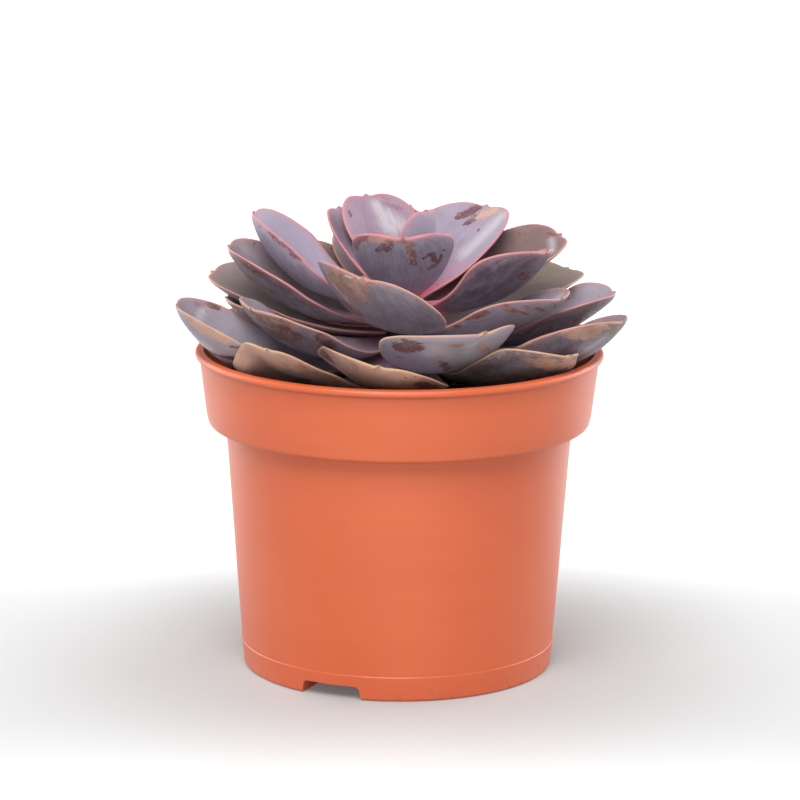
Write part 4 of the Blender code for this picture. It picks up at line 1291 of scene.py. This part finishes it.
def scatter_tree(name, shape):
    """A tree that strews a small shape over the upward faces of a surface, within a reach of one place."""
    group = bpy.data.node_groups.new(name, "GeometryNodeTree")
    face = group.interface
    face.new_socket(name="Geometry", in_out="INPUT", socket_type="NodeSocketGeometry")
    for label in ("Density", "Smallest", "Largest", "Sink", "Reach"):
        face.new_socket(name=label, in_out="INPUT", socket_type="NodeSocketFloat")
    face.new_socket(name="Centre", in_out="INPUT", socket_type="NodeSocketVector")
    face.new_socket(name="Seed", in_out="INPUT", socket_type="NodeSocketInt")
    face.new_socket(name="Material", in_out="INPUT", socket_type="NodeSocketMaterial")
    face.new_socket(name="Geometry", in_out="OUTPUT", socket_type="NodeSocketGeometry")
    tree = Tree(group)
    given, wanted = tree.node("NodeGroupInput").outputs, tree.node("NodeGroupOutput").inputs
    normal = tree.node("ShaderNodeSeparateXYZ")
    tree.join(tree.node("GeometryNodeInputNormal").outputs[0], normal.inputs[0])
    place = tree.node("GeometryNodeInputPosition").outputs[0]
    away = tree.node("ShaderNodeVectorMath", operation="DISTANCE")
    tree.join(place, away.inputs[0])
    tree.join(given["Centre"], away.inputs[1])
    near = tree.sum(away.outputs["Value"], given["Reach"], "LESS_THAN")
    upward = tree.sum(normal.outputs[2], 0.5, "GREATER_THAN")
    points = tree.node("GeometryNodeDistributePointsOnFaces", distribute_method="RANDOM")
    tree.join(given["Geometry"], points.inputs["Mesh"])
    tree.join(tree.times(near, upward), points.inputs["Selection"])
    tree.join(given["Density"], points.inputs["Density"])
    tree.join(given["Seed"], points.inputs["Seed"])
    lowered = tree.node("GeometryNodeSetPosition")
    tree.join(points.outputs["Points"], lowered.inputs["Geometry"])
    tree.join(tree.vector(0.0, 0.0, tree.times(given["Sink"], -1.0)), lowered.inputs["Offset"])
    size = tree.node("FunctionNodeRandomValue", data_type="FLOAT")
    tree.join(given["Smallest"], size.inputs[2])
    tree.join(given["Largest"], size.inputs[3])
    tree.join(given["Seed"], size.inputs["Seed"])
    squash = tree.node("FunctionNodeRandomValue", data_type="FLOAT_VECTOR")
    squash.inputs[0].default_value = (0.55, 0.55, 0.40)
    squash.inputs[1].default_value = (1.25, 1.0, 0.85)
    scale = tree.node("ShaderNodeVectorMath", operation="SCALE")
    tree.join(squash.outputs[0], scale.inputs[0])
    tree.join(size.outputs[1], scale.inputs["Scale"])
    turn = tree.node("FunctionNodeRandomValue", data_type="FLOAT_VECTOR")
    turn.inputs[0].default_value = (-0.5, -0.5, 0.0) if shape == "strand" else (0.0, 0.0, 0.0)
    turn.inputs[1].default_value = (0.5, 0.5, 6.28) if shape == "strand" else (6.28, 6.28, 6.28)
    placed = tree.node("GeometryNodeInstanceOnPoints")
    tree.join(lowered.outputs[0], placed.inputs["Points"])
    tree.join(small_shape(tree, shape), placed.inputs["Instance"])
    tree.join(turn.outputs[0], placed.inputs["Rotation"])
    tree.join(size.outputs[1] if shape == "strand" else scale.outputs[0], placed.inputs["Scale"])
    real = tree.node("GeometryNodeRealizeInstances")
    tree.join(placed.outputs[0], real.inputs[0])
    dressed = tree.node("GeometryNodeSetMaterial")
    tree.join(real.outputs[0], dressed.inputs["Geometry"])
    tree.join(given["Material"], dressed.inputs["Material"])
    tree.join(dressed.outputs[0], wanted["Geometry"])
    return group


def small_shape(tree, shape):
    """A crumb is a low ball of unit radius, and a strand a thin bent fibre of unit length."""
    if shape == "crumb":
        ball = tree.node("GeometryNodeMeshIcoSphere")
        ball.inputs["Radius"].default_value = 1.0
        ball.inputs["Subdivisions"].default_value = 2
        return ball.outputs["Mesh"]
    line = tree.node("GeometryNodeCurveQuadraticBezier")
    line.inputs["Resolution"].default_value = 6
    line.inputs["Start"].default_value = (-0.5, 0.0, -0.02)
    line.inputs["Middle"].default_value = (0.05, 0.38, 0.22)
    line.inputs["End"].default_value = (0.5, -0.08, 0.0)
    round_ = tree.node("GeometryNodeCurvePrimitiveCircle")
    round_.inputs["Resolution"].default_value = 5
    round_.inputs["Radius"].default_value = 0.022
    tube = tree.node("GeometryNodeCurveToMesh")
    tube.inputs["Fill Caps"].default_value = True
    tree.join(line.outputs[0], tube.inputs["Curve"])
    tree.join(round_.outputs[0], tube.inputs["Profile Curve"])
    return tube.outputs[0]


def strewn(name, ground, tree, values):
    """What the tree strews over the ground, as a plain mesh of its own."""
    source = linked(name + "_ground", ground.data.copy())
    step = source.modifiers.new("strew", "NODES")
    step.node_group = tree
    by_name = {item.name: item.identifier for item in tree.interface.items_tree if item.in_out == "INPUT"}
    for label, value in values.items():
        step[by_name[label]] = value
    bpy.context.view_layer.update()
    return settled(source, name, 180.0)


# Scene

def make_camera():
    data = bpy.data.cameras.new("camera")
    data.lens, data.sensor_width = CAMERA_LENS, CAMERA_SENSOR
    data.clip_start, data.clip_end = 0.05, 20.0
    right, up, forward = camera_axes()
    camera = linked("camera", data)
    turn = Matrix((right, up, -forward)).transposed().to_4x4()
    camera.matrix_world = Matrix.Translation(Vector(CAMERA_PLACE) * MM) @ turn
    bpy.context.scene.camera = camera


def soft_light(name, place, target, size, power, colour=(1, 1, 1)):
    data = bpy.data.lights.new(name, "AREA")
    data.shape, data.size, data.energy, data.color = "SQUARE", size, power, colour
    lamp = linked(name, data)
    lamp.location = place
    lamp.rotation_mode = "QUATERNION"
    lamp.rotation_quaternion = (Vector(target) - Vector(place)).to_track_quat("-Z", "Y")
    return lamp


def make_studio():
    """A pale floor that glows with painted light, weakest round the pot as a painted shadow, a white
    surround, a large soft light above the front, and three weaker ones.
    """
    scene = bpy.context.scene
    scene.view_settings.view_transform = "Standard"
    world = bpy.data.worlds.new("studio")
    world.use_nodes = True
    scene.world = world
    tree = Tree(world.node_tree)
    shade = world.node_tree.nodes["Background"]
    shade.inputs["Color"].default_value = (1.0, 1.0, 1.0, 1)
    shade.inputs["Strength"].default_value = 0.18
    white = tree.node("ShaderNodeBackground")
    white.inputs["Strength"].default_value = 1.0
    both = tree.node("ShaderNodeMixShader")
    ray = tree.node("ShaderNodeLightPath").outputs
    reflected = tree.times(ray["Is Glossy Ray"], 0.4)
    tree.join(tree.sum(ray["Is Camera Ray"], reflected, "MAXIMUM"), both.inputs[0])
    tree.join(shade.outputs[0], both.inputs[1])
    tree.join(white.outputs[0], both.inputs[2])
    tree.join(both.outputs[0], world.node_tree.nodes["World Output"].inputs["Surface"])

    finish, tree, shader = new_material("pale floor", 0.6, (0.46, 0.46, 0.46, 1))
    place = tree.place()
    cloud = tree.noise(place, 3.0, 2.0, 0.5)
    tree.join(tree.mix(tree.range(cloud, 0.3, 0.7), (0.448, 0.462, 0.464, 1), (0.458, 0.472, 0.474, 1)),
              shader.inputs["Base Color"])
    # Painted light: a faint glow keeps the floor pale for camera and reflection rays, least round the pot,
    # where it paints a soft shadow, and it grows white in front of the pot and behind it
    depth = tree.node("ShaderNodeSeparateXYZ")
    tree.join(place, depth.inputs[0])
    away = tree.sum(depth.outputs[1], 0.012)
    far = tree.range(tree.sum(away, away, "MULTIPLY"), FLOOR_WHITE_FROM ** 2, FLOOR_WHITE_BY ** 2)
    out = tree.node("ShaderNodeVectorMath", operation="LENGTH")
    tree.join(place, out.inputs[0])
    # Painted shadow: the glow is weakest within a short reach of the pot's middle
    beyond = tree.range(out.outputs["Value"], 0.04, 0.14)
    near = tree.mix(beyond, (0.10, 0.10, 0.10, 1), (0.36, 0.36, 0.36, 1))
    glow = tree.mix(far, near, (0.95, 0.95, 0.95, 1))
    ray = tree.node("ShaderNodeLightPath").outputs
    seen = tree.sum(ray["Is Camera Ray"], ray["Is Glossy Ray"], "MAXIMUM")
    tree.join(tree.mix(seen, (0, 0, 0, 1), glow), shader.inputs["Emission Color"])
    shader.inputs["Emission Strength"].default_value = 1.0
    reach = 3000.0
    floor = add_mesh("floor", [(-reach, -reach, -0.05), (reach, -reach, -0.05), (reach, reach, -0.05),
                               (-reach, reach, -0.05)], [(0, 1, 2, 3)], finish)
    floor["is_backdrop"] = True
    middle = (0, 0, 0.07)
    soft_light("soft box", (-0.10, -0.74, 0.99), middle, 0.75, 13.6)
    soft_light("low front light", (0.0, -1.5, 0.16), middle, 1.0, 6.0)
    soft_light("left light", (-0.85, 0.45, 0.30), middle, 0.9, 7.6)
    soft_light("right light", (0.85, 0.45, 0.30), middle, 0.9, 8.4)


def main():
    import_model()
    low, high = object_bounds()
    make_camera()
    make_studio()

    pot = make_pot(moulded_plastic())
    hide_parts("pot")
    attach(pot, "root")

    earth = earth_group()
    ground = earthy("potting soil", earth, {
        "Dark": (0.010, 0.007, 0.005, 1), "Light": (0.040, 0.027, 0.019, 1), "Grain": (0.16, 0.13, 0.10, 1),
        "Grain Share": 0.35, "Size": 330.0}, 0.9)
    soil = make_soil(ground)
    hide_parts("soil")
    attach(soil, "root")

    bark = earthy("stem bark", earth, {
        "Dark": (0.070, 0.048, 0.038, 1), "Light": (0.165, 0.120, 0.098, 1), "Grain": (0.24, 0.19, 0.15, 1),
        "Grain Share": 0.4, "Size": 260.0}, 0.6)
    stem = make_stem(bark)
    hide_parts("stem")
    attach(stem, "root")

    young, old = leaf_finishes()
    for number, leaf, skin, faces, flat in grown_leaves():
        is_young = leaf.foot > YOUNG_ABOVE
        obj = leaf_object(number, leaf, skin, faces, flat, young if is_young else old,
                          np.array(low), np.array(high))
        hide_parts("leaf_%02d" % number)
        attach(obj, "root")

    crumbs, strands = scatter_tree("crumbs", "crumb"), scatter_tree("strands", "strand")
    peat = earthy("peat crumb", earth, {
        "Dark": (0.014, 0.009, 0.006, 1), "Light": (0.062, 0.040, 0.026, 1), "Grain": (0.20, 0.16, 0.12, 1),
        "Grain Share": 0.25, "Size": 500.0}, 0.7)
    perlite = earthy("pale grit", earth, {
        "Dark": (0.40, 0.36, 0.30, 1), "Light": (0.62, 0.58, 0.50, 1), "Grain": (0.75, 0.72, 0.66, 1),
        "Grain Share": 0.5, "Size": 900.0}, 0.5)
    fibre = earthy("root fibre", earth, {
        "Dark": (0.17, 0.11, 0.06, 1), "Light": (0.36, 0.26, 0.15, 1), "Grain": (0.5, 0.4, 0.27, 1),
        "Grain Share": 0.3, "Size": 900.0}, 0.4)
    centre = (0.0, 0.0, SOIL_LEVEL * MM)
    inside = 54.0 * MM
    loose = (
        ("peat_crumbs", crumbs, {"Density": 420000.0, "Smallest": 0.00035, "Largest": 0.0014, "Sink": 0.0002,
                                 "Reach": inside, "Centre": centre, "Seed": 3, "Material": peat}),
        ("pale_grit", crumbs, {"Density": 16000.0, "Smallest": 0.0004, "Largest": 0.0011, "Sink": 0.0001,
                               "Reach": inside, "Centre": centre, "Seed": 5, "Material": perlite}),
        ("root_fibres", strands, {"Density": 18000.0, "Smallest": 0.003, "Largest": 0.008, "Sink": -0.0003,
                                  "Reach": inside, "Centre": centre, "Seed": 8, "Material": fibre}),
    )
    for name, tree, values in loose:
        piece = strewn(name, soil, tree, values)
        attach(piece, "root")

    low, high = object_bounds()


main()
